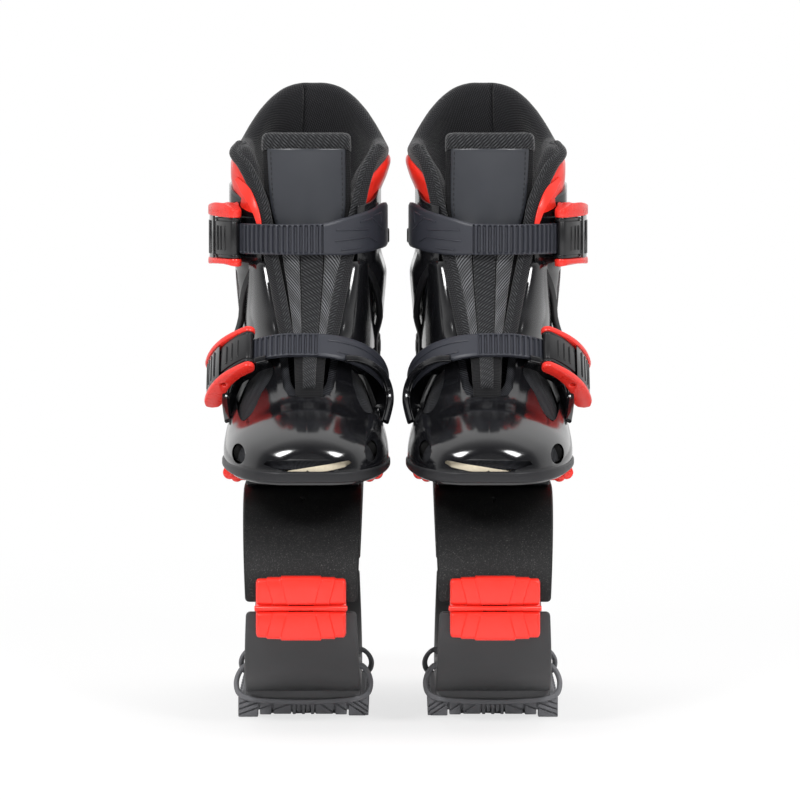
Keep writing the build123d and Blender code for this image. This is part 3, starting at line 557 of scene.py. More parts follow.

# %% [markdown]
# The bows are thick plates that leave the flat middle in a quarter of an ellipse and end upright at the
# hinges. Each bow is made in two halves, front and rear. A half is a run of rounded sections along the
# curve, a little narrower at the hinge, with round lip corners.

# %% Bow sizes
BOW_FLAT = 45.0
BOW_OUTER = 144.5
BOW_THICK = 7.0
BOW_END_GAP = 3.4
BOW_START = 7.0
BOW_CORNER = 2.6
BEND_END = 138.0
DRAIN_Y = 88.0
BARREL = 5.2
BOWS = {"upper_bow": (1, 157.0, 37.0, 40.0), "lower_bow": (-1, 16.5, 36.5, 39.0)}


def bow_stations(direction, far):
    """Places along a bow's outer face from its middle to its hinge end: y, z and the way outward."""
    start = HINGE_Z + direction * BOW_START
    near = HINGE_Z + direction * BOW_END_GAP
    reach = BOW_OUTER - BOW_FLAT
    rise = abs(far - start)
    places = [(BOW_FLAT * k / 5, far, 0.0, direction) for k in range(5)]
    for k in range(25):
        turn = math.pi / 2 * (1 - k / 24)
        way = Vector((math.cos(turn) / reach, math.sin(turn) / rise)).normalized()
        z = start + direction * rise * math.sin(turn)
        places.append((BOW_FLAT + reach * math.cos(turn), z, way[0], direction * way[1]))
    for share in (0.3, 0.55, 0.75, 0.9, 0.97, 1.0):
        places.append((BOW_OUTER, mix(start, near, share), 1.0, 0.0))
    return places


def bow_half_mesh(name, way):
    """The front (-1) or rear (1) half of one bow, with its room for the hinge barrel."""
    direction, far, half_near, half_far = BOWS[name]
    near = HINGE_Z + direction * BOW_END_GAP
    loops = []
    for y, z, out_y, out_z in bow_stations(direction, far):
        from_end = abs(z - near)
        half = mix(half_near, half_far, from_end / abs(far - near))
        if from_end < BOW_CORNER and y > BOW_FLAT:
            half -= BOW_CORNER - math.sqrt(BOW_CORNER ** 2 - (BOW_CORNER - from_end) ** 2)
        less = 1.0 if from_end < 0.3 and y > BOW_FLAT else 0.0
        loop = []
        for across, deep in rounded_loop(half, BOW_THICK / 2 - less, 1.6 - less, 3):
            depth = BOW_THICK / 2 + deep
            loop.append((across, way * (y - out_y * depth), z - out_z * depth))
        loops.append(loop)
    mesh = tube_mesh(name, loops)
    reach = HINGE_X_HALF + 0.3
    room = bar_mesh("room", (-reach, way * HINGE_Y, HINGE_Z), (reach, way * HINGE_Y, HINGE_Z), BARREL + 0.3,
                    0.05)
    cutters = [room]
    if direction > 0:
        cutters.append(bar_mesh("drain", (0, way * DRAIN_Y, 120), (0, way * DRAIN_Y, 170), 1.9, 0.1, 20))
        slit = sorted((way * DRAIN_Y, way * (DRAIN_Y + 7)))
        cutters.append(block_mesh("slit", (-0.7, slit[0], 130), (0.7, slit[1], 170), 0.1))
    return without(mesh, *cutters)


for level, body, finish in (("upper", "boot", bow_black), ("lower", "sole", lower_grey)):
    bow_name = f"{level}_bow"
    for end_name, way in ENDS:
        half = bow_half_mesh(bow_name, way)
        bend = (f"{end_name}_{level}", (0, way * BOW_FLAT, HINGE_Z), (0, way * BEND_END, HINGE_Z))
        set_pair(f"{bow_name}_{end_name}", half, finish.material, body, [bow_name],
                 bend=bend)

# %% [markdown]
# Each hinge has two red covers. A cover is a thick plate with round corners, crowned toward its middle,
# with two curved steps on each side that make it look like a grip. Stations across the width carry a
# D-shaped section, and the stations lean so that each step follows an arc.

# %% Red hinge covers
COVER_BACK = 144.75
COVER_DEPTH = 8.2
COVER_EDGE = 2.3
COVER_NEAR = 2.3
COVER_FAR = 20.6


def cover_zone(u):
    """How far a station stands proud: 0 at the outer zone, then one and two steps up to the middle."""
    return step_at(18.3 - abs(u), 0, 0.7) + step_at(9.0 - abs(u), 0, 0.7)


def cover_mesh(way, direction):
    """One ribbed cover half. Way is the end of the boot, direction is up or down from the hinge line."""
    loops = []
    for s in [k / 150 * 2 - 1 for k in range(151)]:
        u = s * HINGE_X_HALF
        zone = cover_zone(u)
        end = max(0.0, abs(u) - HINGE_X_HALF + COVER_EDGE)
        drawn = COVER_EDGE - math.sqrt(max(0.0, COVER_EDGE ** 2 - end ** 2))
        far = COVER_FAR - 1.3 + 0.75 * zone - drawn + 0.5 * (1 - s * s)
        near = COVER_NEAR + drawn * 0.4
        depth = COVER_DEPTH - 0.9 - drawn + 0.95 * zone + 0.4 * (1 - s * s)
        middle = (near + far) / 2
        loop = []
        for a, b in rounded_loop((far - near) / 2, depth / 2, 2.6, 6):
            up = middle + a
            lean = 4.3 * smooth(up / COVER_FAR) * smooth((HINGE_X_HALF - abs(u)) / 8) * smooth(abs(u) / 6)
            out = COVER_BACK + depth / 2 + b
            out += 0.6 * (1 - ((up - middle) / (far - middle)) ** 2) * (b > 0)
            loop.append((u + math.copysign(lean, u), way * out, HINGE_Z + direction * up))
        loops.append(loop)
    return tube_mesh("cover", loops)


def hinge_half_mesh(way, direction):
    """A cover with its two knuckles and the two pegs through the bow."""
    parts = [cover_mesh(way, direction)]
    inner = 19.225 if direction > 0 else 8.4
    for side in (-1, 1):
        start, end = sorted((side * inner, side * (inner + 10.525)))
        parts.append(bar_mesh("knuckle", (start, way * HINGE_Y, HINGE_Z), (end, way * HINGE_Y, HINGE_Z),
                              BARREL, 0.4))
        height = HINGE_Z + direction * 12.1
        for radius, out, deep in ((3.0, 146.0, 136.0), (4.6, 136.3, 134.1)):
            x = side * 17.85
            parts.append(bar_mesh("peg", (x, way * deep, height), (x, way * out, height), radius, 0.5, 20))
    if direction < 0:
        lip = HINGE_X_HALF + 0.9
        parts.append(bar_mesh("lip", (-lip, way * 151.2, HINGE_Z), (lip, way * 151.2, HINGE_Z), 1.75, 0.5))
    return joined("hinge half", parts)


for end_name, way in ENDS:
    for level, direction in (("upper", 1), ("lower", -1)):
        half = hinge_half_mesh(way, direction)
        node = f"{end_name}_hinge_{level}"
        set_pair(node, half, red_hinge.material, f"{end_name}_{level}", [node])

# %% [markdown]
# The tension band runs between the two pins inside the bows. It stretches when the bows flatten. A moulded
# rubber band has a waist near each eye and a rounded edge.

# %% Tension band
band_rubber = moulded("band_rubber", (0.012, 0.012, 0.012), 0.6, peel=0.03, grain=0.02)
BAND_END = 139.5
EYE_HALF = 8.1


def band_mesh():
    """A flat band with round edges and an eye round each pin."""
    loops = []
    for k in range(57):
        y = mix(-BAND_END, BAND_END, k / 56)
        half = mix(EYE_HALF, 13.0, smooth((BAND_END - abs(y)) / 40))
        loops.append([(a, y, HINGE_Z + b) for a, b in rounded_loop(half, 2.0, 1.2, 3)])
    parts = [tube_mesh("band", loops)]
    for way in (-1, 1):
        y = way * HINGE_Y
        eye = bar_mesh("eye", (-EYE_HALF, y, HINGE_Z), (EYE_HALF, y, HINGE_Z), BARREL, 0.6)
        hole = bar_mesh("hole", (-12, y, HINGE_Z), (12, y, HINGE_Z), 3.05, 0.1)
        parts.append(without(eye, hole))
    return joined("band", parts)


set_pair("tension_band", band_mesh(), band_rubber.material, "band", ["tension_band"],
         bend=("rear_pin", (0, -110, HINGE_Z), (0, 110, HINGE_Z)))

# %% [markdown]
# The outsole is a block of rubber under the lower bow's foot. Its edge is cut into chunky lugs with
# slanted grooves, and the middle of each end has a row of small teeth. A thin loop of the same rubber
# wraps the foot at each end, so that the tread can't come off.

# %% Rubber tread
TREAD_HALF = 44.0
TREAD_END = 66.0
TREAD_TOP = 15.0
END_LUGS = ((-44.0, -30.6, 3, 0.0), (-29.4, -21.6, 1, 1.6), (-20.2, -8.2, 1, 2.0), (8.2, 20.2, 1, 2.0),
            (21.6, 29.4, 1, 1.6), (30.6, 44.0, 3, 0.9))


def lug_mesh(low, high, grooves, lean, end):
    """A lug with slanted grooves across its outer face. End is -1 or 1 for the tread's two ends."""
    lug = block_mesh("lug", low, high, 0.7, 2)
    cutters = []
    width = high[0] - low[0]
    for k in range(grooves):
        height = mix(low[2], high[2], (k + 1) / (grooves + 1)) + 0.4
        cut = block_mesh("groove", (-width, -2.4, -0.55), (width, 2.4, 0.55), 0.05, 1)
        face = low[1] if end < 0 else high[1]
        middle = Vector(((low[0] + high[0]) / 2, face, height)) * MM
        cut.transform(Matrix.Translation(middle) @ Matrix.Rotation(math.radians(lean), 4, "Y"))
        cutters.append(cut)
    return without(lug, *cutters)


def tread_mesh():
    """The whole rubber tread: slab, end lugs, side lugs, small teeth and the blocks underneath."""
    slab_half, slab_end = TREAD_HALF - 1.6, TREAD_END - 2.2
    parts = [block_mesh("slab", (-slab_half, -slab_end, 4.6), (slab_half, slab_end, TREAD_TOP), 1.2)]
    for end in (-1, 1):
        ys = sorted((end * TREAD_END, end * (TREAD_END - 11)))
        for x0, x1, grooves, foot in END_LUGS:
            lean = -20 if x0 < 0 else 34
            top = 11.6 if grooves == 1 else 14.2
            parts.append(lug_mesh((x0, ys[0], foot), (x1, ys[1], top), grooves, lean, end))
        for k in range(5):
            x = (k - 2) * 3.1
            foot = 3.4 if k % 2 else 1.8
            tooth = sorted((end * (TREAD_END - 0.5), end * (TREAD_END - 9)))
            parts.append(block_mesh("tooth", (x - 1.15, tooth[0], foot), (x + 1.15, tooth[1], 11.0), 0.5,
                                    2))
    for side in (-1, 1):
        for k in range(7):
            y = (k - 3) * 15.0
            xs = sorted((side * TREAD_HALF, side * (TREAD_HALF - 13)))
            parts.append(block_mesh("side lug", (xs[0], y - 5.6, 0), (xs[1], y + 5.6, 13.2), 0.9, 2))
            xs = sorted((side * (TREAD_HALF + 0.1), side * (TREAD_HALF - 5)))
            parts.append(block_mesh("side rib", (xs[0], y - 2.0, 8.0), (xs[1], y + 2.0, 14.4), 0.7, 2))
    for row in range(6):
        for column, x in enumerate((-19.5, 0, 19.5)):
            block = block_mesh("block", (-8.2, -5.2, 0), (8.2, 5.2, 6), 0.7, 2)
            turn = Matrix.Rotation(math.radians(16 if column % 2 else -16), 4, "Z")
            block.transform(Matrix.Translation(Vector((x, (row - 2.5) * 16.5, 0)) * MM) @ turn)
            parts.append(block)
    return joined("tread", parts)


def strip_mesh(points, half_wide, half_thick, count, facing):
    """A flat strip along a line. Two functions give its half width and the way its flat side faces."""
    line = smooth_line(points, count)
    loops = []
    for i, p in enumerate(line):
        along = (line[min(i + 1, count - 1)] - line[max(i - 1, 0)]).normalized()
        out = facing(p)
        out = (out - along * out.dot(along)).normalized()
        wide = along.cross(out)
        section = rounded_loop(half_wide(i / (count - 1)), half_thick, half_thick * 0.7, 3)
        loops.append([p + wide * a + out * b for a, b in section])
    return tube_mesh("strip", loops)


def loop_points(end):
    """The rubber loop at one end: up each side of the foot and across below its front face."""
    side = [(-22, 38, 26.8), (-31, 41, 30.0), (-38.4, 45.5, 32.6), (-43.2, 51, 29.0), (-45.4, 58, 22.5),
            (-43.4, 65, 16.0), (-36, 68.2, 12.8), (-20, 69.2, 11.2), (0, 69.6, 10.6)]
    points = [(x, end * y, z) for x, y, z in side]
    return points + [(-x, y, z) for x, y, z in points[-2::-1]]


def loop_width(t):
    """Half width of the loop: narrow across the front, and wider at its ends."""
    return mix(1.7, 3.0, (2 * t - 1) ** 2)


def from_middle(p):
    """The level way from the boot's middle to a place."""
    return Vector((p.x, p.y * 0.9, 0)).normalized()


tread_parts = [tread_mesh()]
tread_parts += [strip_mesh(loop_points(end), loop_width, 1.2, 90, from_middle) for end in (-1, 1)]
set_pair("outsole", joined("outsole", tread_parts), tread_grey.material, "sole", ["outsole"])

# %% [markdown]
# The foot of the lower bow is the block that carries the tread. Its side view is one outline, whose ends
# lean in toward the top.

# %% Foot of the lower bow
FOOT_PROFILE = [(-67.0, 12.2), (67.0, 12.2), (67.6, 13.4), (64.4, 24.6), (62.8, 25.6), (58, 26.0),
                (-58, 26.0),
                (-62.8, 25.6), (-64.4, 24.6), (-67.6, 13.4)]


def foot_mesh():
    """The foot of the lower bow: a block whose end faces slope down to the rubber loop."""
    loops = []
    for x, less in ((-38.8, 1.6), (-38.2, 0.7), (-37.4, 0.0), (37.4, 0.0), (38.2, 0.7), (38.8, 1.6)):
        loops.append([(x, y - math.copysign(less, y), mix(z, 18, less / 12)) for y, z in FOOT_PROFILE])
    return tube_mesh("bow foot", loops)


# The foot is painted lighter than the lower bow it belongs to. This is painted light where the bow above
# shades it.
foot_painted_light_grey = moulded("foot_painted_light_grey", (0.11, 0.11, 0.114), 0.55, peel=0.03, grain=0.01)
set_pair("lower_bow_foot", foot_mesh(), foot_painted_light_grey.material, "sole")

# %% [markdown]
# The bracket's two red bars stick out under the shell's rim, where their rounded ears show. Between the
# bars a plain block joins the bow to the boot.

# %% Bracket
def bracket_bars():
    """Two red bars with lobed ears at their ends."""
    parts = []
    for way in (-1, 1):
        y = way * 56
        parts.append(block_mesh("bar", (-48, y - 12, 160.4), (48, y + 12, 170.8), 2.5, 4))
        for side in (-1, 1):
            for x, low, radius in ((49.4, 165.8, 4.6), (44.6, 163.6, 4.2)):
                bar = bar_mesh("lobe", (side * x, y - 12, low), (side * x, y + 12, low), radius, 1.2, 32)
                parts.append(bar)
    return joined("bars", parts)


set_pair("mount_bracket", bracket_bars(), red_hinge.material, "boot", ["mount_bracket"])
bracket_block = joined("block", [block_mesh("low", (-37.8, -70, 157.1), (37.8, 70, 166), 1.5, 3),
                                 block_mesh("high", (-43.4, -70, 162.6), (43.4, 70, 170.6), 1.5, 3)])
set_pair("bracket_block", bracket_block, matte_black_and_gap_shade.material, "boot")

# %% [markdown]
# Four bolts hold boot, bracket and bow together. Each is a bar with a round head inside the boot and a
# six-sided nut under the bow. The hinge pins are plain bars, a little shorter than the knuckles.

# %% Bolts and hinge pins
def bolt_mesh(x, y):
    """One bolt with its head, washer and nut."""
    parts = [bar_mesh("bolt", (x, y, 146.5), (x, y, 174), 3.0, 0.4, 24)]
    parts.append(bar_mesh("head", (x, y, 172.5), (x, y, 175), 6.0, 0.8, 32))
    parts.append(bar_mesh("washer", (x, y, 149.0), (x, y, 150.0), 6.2, 0.2, 32))
    parts.append(bar_mesh("nut", (x, y, 146.0), (x, y, 149.0), 5.5, 0.4, 6))
    return joined("bolt", parts)


BOLT_X = 22
BOLT_Y = 40
bolts = [bolt_mesh(x, y) for x in (-BOLT_X, BOLT_X) for y in (-BOLT_Y, BOLT_Y)]
set_pair("mount_bolts", joined("bolts", bolts), steel.material, "boot", ["mount_bolts"])
PIN_HALF = HINGE_X_HALF - 0.25
for (end_name, way), pin_body in zip(ENDS, ("front_lower", "rear_pin")):
    pin = bar_mesh("pin", (-PIN_HALF, way * HINGE_Y, HINGE_Z), (PIN_HALF, way * HINGE_Y, HINGE_Z), 3.0, 0.4)
    set_pair(f"{end_name}_hinge_pin", pin, steel.material, pin_body, [f"{end_name}_hinge_pin"])

# %% [markdown]
# The lower shell is one moulding. Upright sections follow each other from toe to heel, and each is built
# from arcs: a bulge low on the side, a shoulder, and a crown over the foot. The openings are cut as closed
# shapes, seen from the front: the throat, the toe slot, the two vents and the two round air holes.

# %% Shell sections
TOE = -157.0
HEEL = 104.0
SHELL_HALF = 55.0
SHELL_CROWN = 130.0
SHELL_LOW = 165.0
SHELL_WALL = 3.2
NOSE = 7.0
TOE_SWING = 4.5
TOE_DROP = 6.0
DROP_START = -92.0
DROP_RUN = 65.0
STATIONS = (0.0, 0.025, 0.07, 0.15, 0.25, 0.37, 0.5, 0.64, 0.77, 0.9, 0.97, 1.0)
WIDTHS = (0.42, 0.62, 0.79, 0.93, 1.0, 0.98, 0.89, 0.815, 0.81, 0.73, 0.56, 0.36)
CROWNS = (0.2, 0.235, 0.28, 0.345, 0.42, 0.6, 0.84, 1.0, 1.0, 1.0, 0.96, 0.9)
SHOULDERS = (0.86, 0.84, 0.82, 0.8, 0.78, 0.74, 0.7, 0.9, 0.95, 0.95, 0.93, 0.92)


def shell_value(shares, y):
    """Reads one of the shell's tables at a place along the foot."""
    return along_table(list(zip(STATIONS, shares)), (y - TOE) / (HEEL - TOE))


def toe_shift(y):
    """How far the shell's middle swings to the side at a place toward the toe."""
    return TOE_SWING * max(0.0, y / TOE)


def sole_at(y):
    """Height of the boot's underside: level, and a little lower toward the toe."""
    return SOLE_Z - TOE_DROP * min(1.0, max(0.0, (DROP_START - y) / DROP_RUN))


def arc_points(a, b, c, count):
    """Points from a to c on the circle through a, b and c."""
    (ax, ay), (bx, by), (cx, cy) = a, b, c
    d = 2 * (ax * (by - cy) + bx * (cy - ay) + cx * (ay - by))
    far_a, far_b, far_c = ax ** 2 + ay ** 2, bx ** 2 + by ** 2, cx ** 2 + cy ** 2
    ux = (far_a * (by - cy) + far_b * (cy - ay) + far_c * (ay - by)) / d
    uy = (far_a * (cx - bx) + far_b * (ax - cx) + far_c * (bx - ax)) / d
    radius = math.hypot(ax - ux, ay - uy)
    start = math.atan2(ay - uy, ax - ux)
    end = math.atan2(cy - uy, cx - ux)
    through = math.atan2(by - uy, bx - ux)
    turn = (end - start) % (2 * math.pi)
    if (through - start) % (2 * math.pi) > turn:
        turn -= 2 * math.pi
    angles = [start + turn * k / (count - 1) for k in range(count)]
    return [(ux + radius * math.cos(t), uy + radius * math.sin(t)) for t in angles]


def shell_section(y, inset=0.0, arch=26):
    """One slice of the shell from its low edge on +X over the crown to the low edge on -X, as x and z."""
    half = SHELL_HALF * shell_value(WIDTHS, y) - inset
    crown = SHELL_CROWN * shell_value(CROWNS, y) - inset
    nose = max(0.0, NOSE - (y - TOE))
    drawn = 0.75 * (NOSE - math.sqrt(max(0.0, NOSE ** 2 - nose ** 2)))
    half -= drawn
    crown -= drawn
    foot = half * 0.93
    shoulder = half * shell_value(SHOULDERS, y)
    bulge_z = SHELL_LOW + crown * 0.32
    shoulder_z = SHELL_LOW + crown * 0.72
    right = arc_points((foot, SHELL_LOW), (half, bulge_z), (shoulder, shoulder_z), 14)
    over = arc_points((shoulder, shoulder_z), (0, SHELL_LOW + crown), (-shoulder, shoulder_z), arch)
    shift = toe_shift(y)
    points = right + over[1:-1] + [(-x, z) for x, z in reversed(right)]
    return [(x + shift, z) for x, z in points]


def shell_half_at(y, z):
    """Half width of the shell at a height on its side, measured from its own middle line."""
    shift = toe_shift(y)
    section = [(x - shift, h) for x, h in shell_section(y) if x > shift - 0.001]
    for (x0, z0), (x1, z1) in zip(section, section[1:]):
        if z0 <= z <= z1:
            return mix(x0, x1, (z - z0) / max(0.001, z1 - z0))
    return section[0][0] if z < section[0][1] else 0.0


def shell_form(inset, floor, grow_top=0.0):
    """A closed body inside the shell's outer skin, standing on a floor above the sole line."""
    start, end = TOE + inset, HEEL - inset
    near_toe = [start + NOSE * (1 - math.cos(math.pi / 2 * k / 8)) for k in range(8)]
    stations = near_toe + [mix(start + NOSE, end, k / 90) for k in range(91)]
    loops = []
    for y in stations:
        at = TOE + (y - start) * (HEEL - TOE) / (end - start)
        low = sole_at(y) + floor
        loops.append([(x, y, max(low, z + grow_top)) for x, z in shell_section(at, inset)])
    return tube_mesh("shell form", loops)


def front_cutter(outline, y0, y1):
    """A closed prism along Y from an outline seen from the front."""
    loops = [[(x, y, z) for x, z in outline] for y in (y0, y1)]
    return tube_mesh("cutter", loops)


def side_cutter(outline, half=90):
    """A closed prism along X from an outline seen from the side."""
    return tube_mesh("cutter", [[(x, y, z) for y, z in outline] for x in (-half, half)])


def closed_curve(points, count):
    """A smooth closed outline through a few points."""
    wrapped = points[-2:] + points + points[:3]
    line = smooth_line(wrapped, (len(wrapped) - 1) * count + 1)
    return [(p[0], p[1]) for p in line[2 * count:(2 + len(points)) * count]]


VENT_OUTER = [(-33, 234), (-23, 240), (-20.4, 232), (-27, 221), (-33.5, 208), (-40.6, 203), (-45.6, 213),
              (-46, 225),
              (-41, 232)]
VENT_INNER = [(34, 238), (45, 236), (53, 228), (55, 215), (50, 207), (42, 208), (36.5, 217), (33, 229)]
SLOT_TOP = [(-24.5, 178.4), (-22.5, 180.6), (-10, 181.2), (4.5, 181.4), (20, 181.4), (31.5, 181.2),
            (33.5, 179.4)]
SLOT_LOW = [(29, 176.6), (18, 174.2), (7.5, 173.0), (4.5, 174.4), (1.5, 173.0), (-8, 173.8), (-18, 176.2)]
AIR_HOLES = ((-41.5, 183.5), (46.2, 185.5))
THROAT = [(-13, 224), (-9.5, 219.4), (4, 218.2), (17.5, 219.4), (21, 224), (37.5, 330), (-29.5, 330)]
TOP_LINE = [(-200, 306), (-52, 306), (-42, 301), (4, 269), (16, 262), (30, 261), (200, 261), (200, 400),
            (-200, 400)]


def shell_mesh():
    """The lower shell with all its openings and a rounded rim at each of them."""
    body = shell_form(0, 0)
    hollow = shell_form(SHELL_WALL, 4.0)
    cutters = [hollow, side_cutter(TOP_LINE), front_cutter(THROAT, -130, 14)]
    cutters.append(front_cutter(closed_curve(VENT_OUTER, 6), -125, -38))
    cutters.append(front_cutter(closed_curve(VENT_INNER, 6), -125, -38))
    cutters.append(front_cutter(SLOT_TOP + SLOT_LOW, -170, -141))
    for (x, z), (wide, high) in zip(AIR_HOLES, ((4.6, 6.4), (3.9, 6.6))):
        hole = [(x + wide * math.cos(a),
                 z + high * math.sin(a)) for a in (2 * math.pi * k / 32 for k in range(32))]
        cutters.append(front_cutter(hole, -150, -104))
    shell = without(body, *cutters)
    return bevelled(shell, 1.0, 3, 45)


def rim_mesh():
    """The satin band round the foot of the shell."""
    right, left = [], []
    for k in range(91):
        share = k / 90
        y = mix(TOE + 0.01, HEEL, share ** 1.3)
        half = shell_half_at(y, sole_at(y) + 6.0)
        shift = toe_shift(y)
        right.append((shift + half, y))
        left.append((shift - half, y))
    line = smooth_line(right + left[::-1], 260)
    count = len(line)
    loops = []
    for k, place in enumerate(line):
        along = (line[(k + 2) % count] - line[k - 2]).normalized()
        out = Vector((along.y, -along.x)) * -1
        loop = []
        rise = smooth((-105 - place.y) / 45)
        for a, b in rounded_loop(2.2, 2.9 + 0.9 * rise, 1.6, 4):
            reach = a - 0.9
            loop.append((place.x - out.x * reach, place.y - out.y * reach,
                         sole_at(place.y) + 4.4 + 0.6 * rise + b))
        loops.append(loop)
    points = [p for loop in loops for p in loop]
    faces = grid_faces(count, len(loops[0]), wrap_rows=True, wrap_columns=True)
    return outward(new_mesh("rim", points, faces, grid_uvs(loops)))


def boss_mesh(y, z, x0, x1, radius):
    """A round seat for a rivet."""
    return bar_mesh("boss", (x0, y, z), (x1, y, z), radius, 1.0, 40)


EAR_OUTER = [(-24.7, -73, 243), (-32.6, -70, 240.8), (-41.6, -63, 235.8), (-47.8, -56.5, 229.5),
             (-51.6, -52, 222),
             (-52.6, -53, 214.5), (-51.8, -60, 207.5), (-50.4, -70, 201)]
EAR_INNER = [(29, -73, 243), (38.3, -69, 242), (48.0, -62, 237), (54.6, -55, 230), (58.0, -51, 221.5),
             (58.8, -53, 213.5),
             (57.4, -60, 206), (55.6, -67, 200)]


def ear_mesh(points):
    """A moulded fender that arches over a vent: a rounded lip and the wall behind it."""
    lip = strip_mesh(points, lambda t: 2.3, 1.5, 70, lambda p: Vector((p.x * 0.006, -1, 0.35)))
    line = smooth_line(points, 70)
    outer, inner = [], []
    for i, p in enumerate(line):
        away = Vector((p.x, 0, (p.z - 205) * 0.9)).normalized()
        outer.append([p + Vector((0, 30 * k / 8,
                                  0)) - away * (1.2 + 15 * (k / 8) ** 1.7) for k in range(9)])
        inner.append([q - away * 1.6 for q in outer[-1]])
    return joined("ear", [lip, plate_mesh("wall", outer, inner)])


WING = [(246, 21.6, -61), (256, 18.6, -52), (267, 20.4, -46), (278, 22.6, -39), (290, 25.4, -33),
        (300, 27.6, -29), (307, 29.2, -26)]


def wing_mesh(side):
    """The tall side of the shell between the two straps, whose edge follows the liner's binding."""
    outer, inner = [], []
    for i in range(41):
        z = mix(246, 306, i / 40)
        x0, y0 = along_table([(w[0], w[1]) for w in WING], z), along_table([(w[0], w[2]) for w in WING], z)
        x0 += 3.8 * side
        reach = 45.0 + 3.2 * side
        row, back = [], []
        for k in range(25):
            t = k / 24
            turn = math.pi / 2 * t
            x = x0 + (reach - x0) * math.sin(turn) ** 0.9
            y = y0 + (22 - y0) * (1 - math.cos(turn)) ** 1.05
            edge = min(t * 46, 306 - z)
            less = 1.2 * (1 - smooth(edge / 2.2))
            row.append((side * (x - less * 0.4), y + less, z))
            back.append((side * (x - 2.4 + less * 0.2), y + 2.4 - less * 0.5, z))
        outer.append(row)
        inner.append(back)
    return plate_mesh("wing", outer, inner)


STRAPS = {"ankle": (0, 34.0, 321.5, 90.0, 52.0, 64.0, 1.5, 38.0),
          "instep": (0, -20.0, 215.0, 52.0, 53.0, 56.0, 7.0, 56.0)}


def strap_place(name, x, y, z):
    """A place in a strap's own plane, set on the boot."""
    _, y0, z0, slope, *_ = STRAPS[name]
    turn = math.radians(slope)
    return Vector((x, y0 + y * math.sin(turn) + z * math.cos(turn),
                   z0 - y * math.cos(turn) + z * math.sin(turn)))


def seam_mesh():
    """The fine seam of the mould along the middle of the toe cap."""
    loops = []
    for k in range(40):
        y = mix(-148, -101, k / 39)
        section = shell_section(y)
        x = toe_shift(y)
        top = max(z for _, z in section)
        ring = [2 * math.pi * j / 8 for j in range(8)]
        loops.append([(x + 0.7 * math.cos(a), y, top - 0.25 + 0.42 * math.sin(a)) for a in ring])
    return tube_mesh("seam", loops)


shell_parts = [shell_mesh(), boss_mesh(-20, 215, 40, 55.2, 9), seam_mesh()]
shell_parts += [ear_mesh(points) for points in (EAR_OUTER, EAR_INNER)]
shell_parts += [wing_mesh(side) for side in (-1, 1)]
set_pair("lower_shell", joined("shell", shell_parts), shell_gloss.material, "boot", ["lower_shell"],
         angle=32)
set_pair("shell_rim", rim_mesh(), rim_satin.material, "boot")
lid = block_mesh("above", (-120, -220, 0), (120, 220, 200), 1)
lid.transform(Matrix.Translation(Vector((0, 0, 175.4)) * MM) @ Matrix.Rotation(math.radians(-9.2), 4, "Y"))
level_lid = block_mesh("level", (-120, -140, 176.6), (120, 220, 330), 1)
board_form = without(shell_form(SHELL_WALL + 0.6, 4.2), lid, level_lid)
set_pair("footbed", board_form, board.material, "boot", ["footbed"])


def shell_front(x, z):
    """Where a line along Y first meets the shell's skin."""
    y = TOE
    while abs(x - toe_shift(y)) > shell_half_at(y, z) and y < 0:
        y += 0.5
    return y


# Near-black plugs sit behind the two air holes as painted shade, so that the holes look dark inside.
plugs = []
for x, z in AIR_HOLES:
    y = shell_front(x, z)
    x -= math.copysign(3.0, x)
    plugs.append(bar_mesh("plug", (x, y + 13, z), (x, y + 28, z), 6.5, 0.6, 32))
set_pair("air_hole_shade_plugs", joined("plugs", plugs), hole_shade_black.material, "boot")


def liner_mesh():
    """The soft inner shoe, open along the instep and at the ankle."""
    outer = without(shell_form(SHELL_WALL + 0.8, 9.6),
                    block_mesh("toe room", (-90, -200, 100), (90, -146.5, 400), 1))
    hollow = shell_form(SHELL_WALL + 6.2, 13, 0.2)
    above = [(y, z - 1.5) for y, z in TOP_LINE]
    throat = [(4 + (x - 4) * 0.72, z + 3) for x, z in THROAT[:5]] + [(34, 332), (-26, 332)]
    return bevelled(without(outer, hollow, side_cutter(above), front_cutter(throat, -130, 14)), 1.2, 3, 45)


set_pair("liner_foot", liner_mesh(), inner_mesh.material, "boot", ["liner_foot"])

# %% [markdown]
# The cuff wraps the ankle and turns on a rivet at each side. Seen from above it is a broad ring with round
# ends, open in front. Its lower edge dips in a lobe around each rivet. A near-black matte band along that
# edge is painted shade, standing for the dark gap between the cuff and the shell.

# %% Cuff
CUFF_LEVELS = ((226.0, 49.3, 68.3, 40.0), (262.0, 49.3, 68.3, 40.0), (300.0, 52.0, 64.0, 34.0),
               (430.0, 52.0, 64.0, 34.0))
CUFF_LOW = [(-32, 312), (-24, 309), (-17.5, 305), (-12, 298.5), (-5, 288), (2, 276), (9, 261), (15, 248),
            (20, 236), (28, 228), (40, 226), (52, 228), (60, 236),
            (68, 254), (78, 266), (88, 268), (120, 268)]


def ring_points(half_x, half_y, corner_less, middle, count=240):
    """A level ring with broad round ends, from the front middle round by -X, evenly spaced."""
    radius = half_x - corner_less
    side = half_y - radius
    places = []
    for k in range(count * 4):
        share = k / (count * 4)
        turn = -math.pi / 2 - 2 * math.pi * share
        x, y = radius * math.cos(turn), radius * math.sin(turn)
        push_x = math.copysign(corner_less, x) * min(1, abs(x) / 8)
        push_y = math.copysign(side, y) * min(1, abs(y) / 12)
        if abs(math.sin(turn)) > 0.999:
            push_y = side * math.sin(turn)
        places.append((x + push_x, y + middle + push_y))
    return places


def level_at(levels, z):
    """Half sizes and middle of a ring at a height."""
    return [along_table([(row[0], row[k]) for row in levels], z) for k in (1, 2, 3)]


